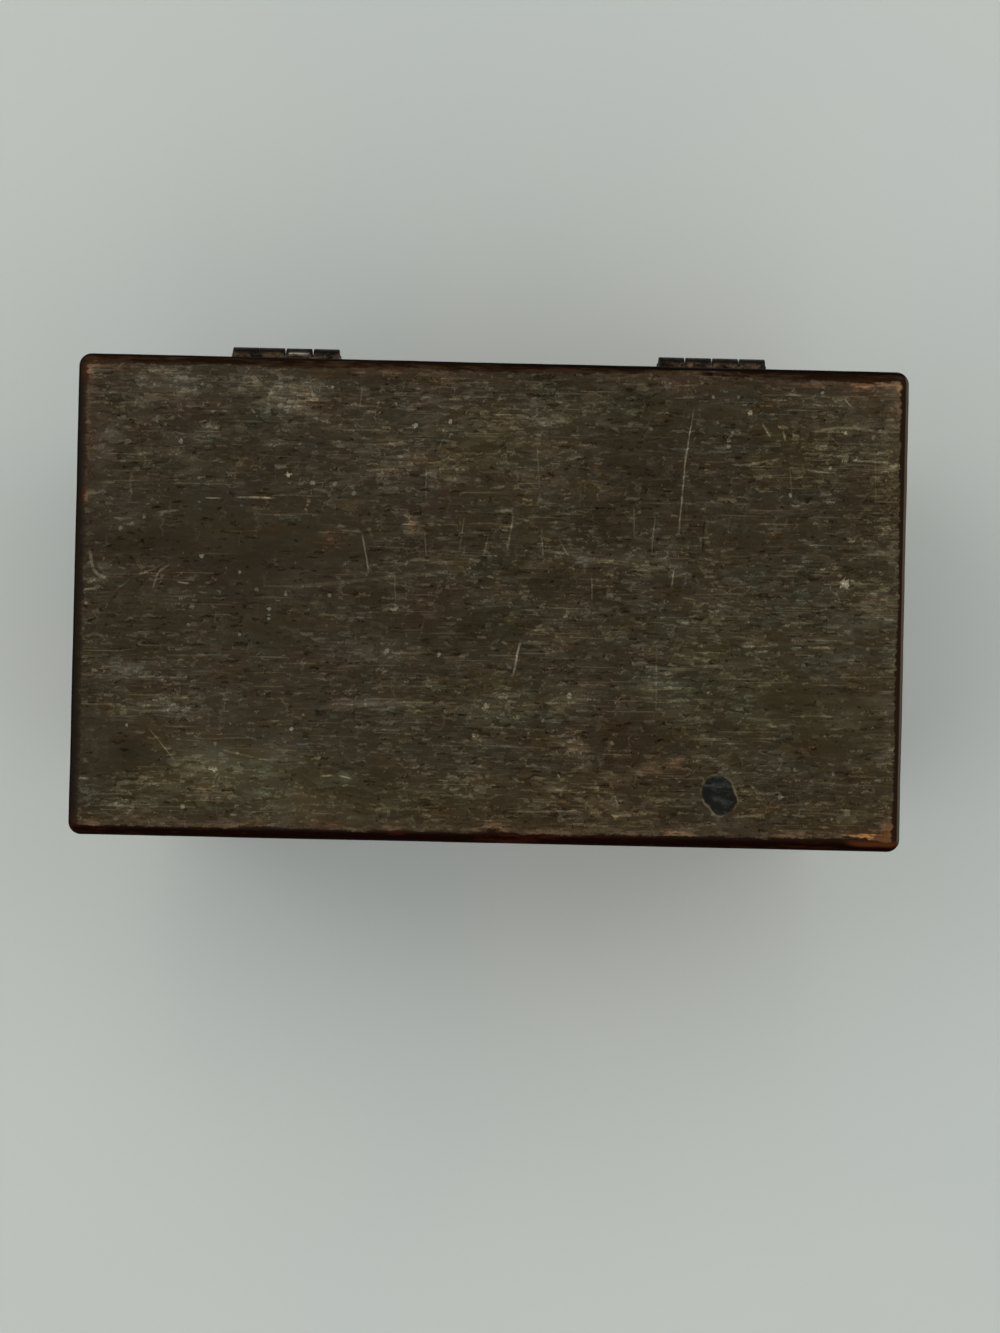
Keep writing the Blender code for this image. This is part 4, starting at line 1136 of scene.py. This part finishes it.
longWood = makeBoardWood("varnishedWoodLengthwise", "x")
shortWood = makeBoardWood("varnishedWoodSideways", "y")
lidTop = buildLidTop(lidFace, makeLidWood(bareWood), longWood)
print("recipe box: worn lid face,", len(lidTop.data.polygons), "faces")
buildCase(longWood, shortWood)
buildBase(makeBoardWood("varnishedBaseWood", "x", varnish["floorBareFrom"]))
print("recipe box: eight finger-jointed boards and the base")
buildHinges()
print("recipe box: two hinges with their pins and screws")


# floor, light and camera

studio = {
    "floorTones": ((190, 196, 192), (194, 198, 192)), "roomColour": (192, 197, 192),
    "floorSize": 8.0,
    "lampDistance": 6.0,
    "lampHeight": 50,           # degrees above the floor
    "lampRadius": 26,           # degrees, as seen from the box
    # each lamp's share of the light: direction in degrees from +X, share
    "lamps": ((0, 0.16), (60, 0.164), (120, 0.189), (180, 0.245), (240, 0.097), (300, 0.145)),
    "power": 1.2,               # about 1 shows a colour as it is written
    "cameraPlace": (-0.376, -13.099, 436.175),      # millimetres
    "cameraTurn": (0.35067, -0.40854, 1.29659),     # degrees
    "lens": 54.09,
}


def buildFloor():
    half = studio["floorSize"] / 2
    mesh = bpy.data.meshes.new("floor")
    mesh.from_pydata([(-half, -half, 0), (half, -half, 0), (half, half, 0), (-half, half, 0)], [],
                     [(0, 1, 2, 3)])
    floor = addObject("floor", mesh)
    f = Finish("paleFloor", {"Specular IOR Level": 0.05})
    f.colour = f.mix(f.fade(f.wave(0.012, 3.0, 2, 0.5), -0.2, 0.2), *studio["floorTones"])
    tooth = f.wave(2.0, 1.0, 2, 0.6)
    mesh.materials.append(f.wear(0.9 + tooth * 0.05, tooth, 0.004))


def buildLamps():
    distance = studio["lampDistance"]
    height = math.radians(studio["lampHeight"])
    for i, (turn, share) in enumerate(studio["lamps"]):
        lamp = bpy.data.lights.new(f"softLamp{i + 1}", "AREA")
        lamp.shape = "DISK"
        lamp.size = 2 * distance * math.tan(math.radians(studio["lampRadius"]))
        lamp.energy = studio["power"] * share * math.pi**2 * distance**2 / math.sin(height)
        holder = addObject(f"softLamp{i + 1}", lamp)
        side = math.radians(turn)
        out = Vector((math.cos(side) * math.cos(height), math.sin(side) * math.cos(height),
                      math.sin(height)))
        holder.location = out * distance
        holder.rotation_euler = (-out).to_track_quat("-Z", "Y").to_euler()


def buildBackground():
    world = bpy.data.worlds.new("paleRoom")
    bpy.context.scene.world = world
    world.use_nodes = True
    tree = world.node_tree
    back = tree.nodes["Background"]
    back.inputs["Color"].default_value = tint(*studio["roomColour"])
    path = tree.nodes.new("ShaderNodeLightPath")
    seen = path.outputs["Is Camera Ray"]
    for ray in ("Is Glossy Ray", "Is Transmission Ray"):
        either = tree.nodes.new("ShaderNodeMath")
        either.operation = "MAXIMUM"
        tree.links.new(seen, either.inputs[0])
        tree.links.new(path.outputs[ray], either.inputs[1])
        seen = either.outputs[0]
    tree.links.new(seen, back.inputs["Strength"])


def buildCamera():
    camera = bpy.data.cameras.new("camera")
    camera.lens = studio["lens"]
    camera.sensor_fit = "AUTO"
    camera.sensor_width = 36
    camera.clip_end = 50
    holder = addObject("camera", camera)
    holder.location = [part * mm for part in studio["cameraPlace"]]
    holder.rotation_euler = [math.radians(part) for part in studio["cameraTurn"]]
    bpy.context.scene.camera = holder


buildFloor()
buildLamps()
buildBackground()
buildCamera()
bpy.context.scene.view_settings.view_transform = "Standard"
print("recipe box: floor, lamps and camera")
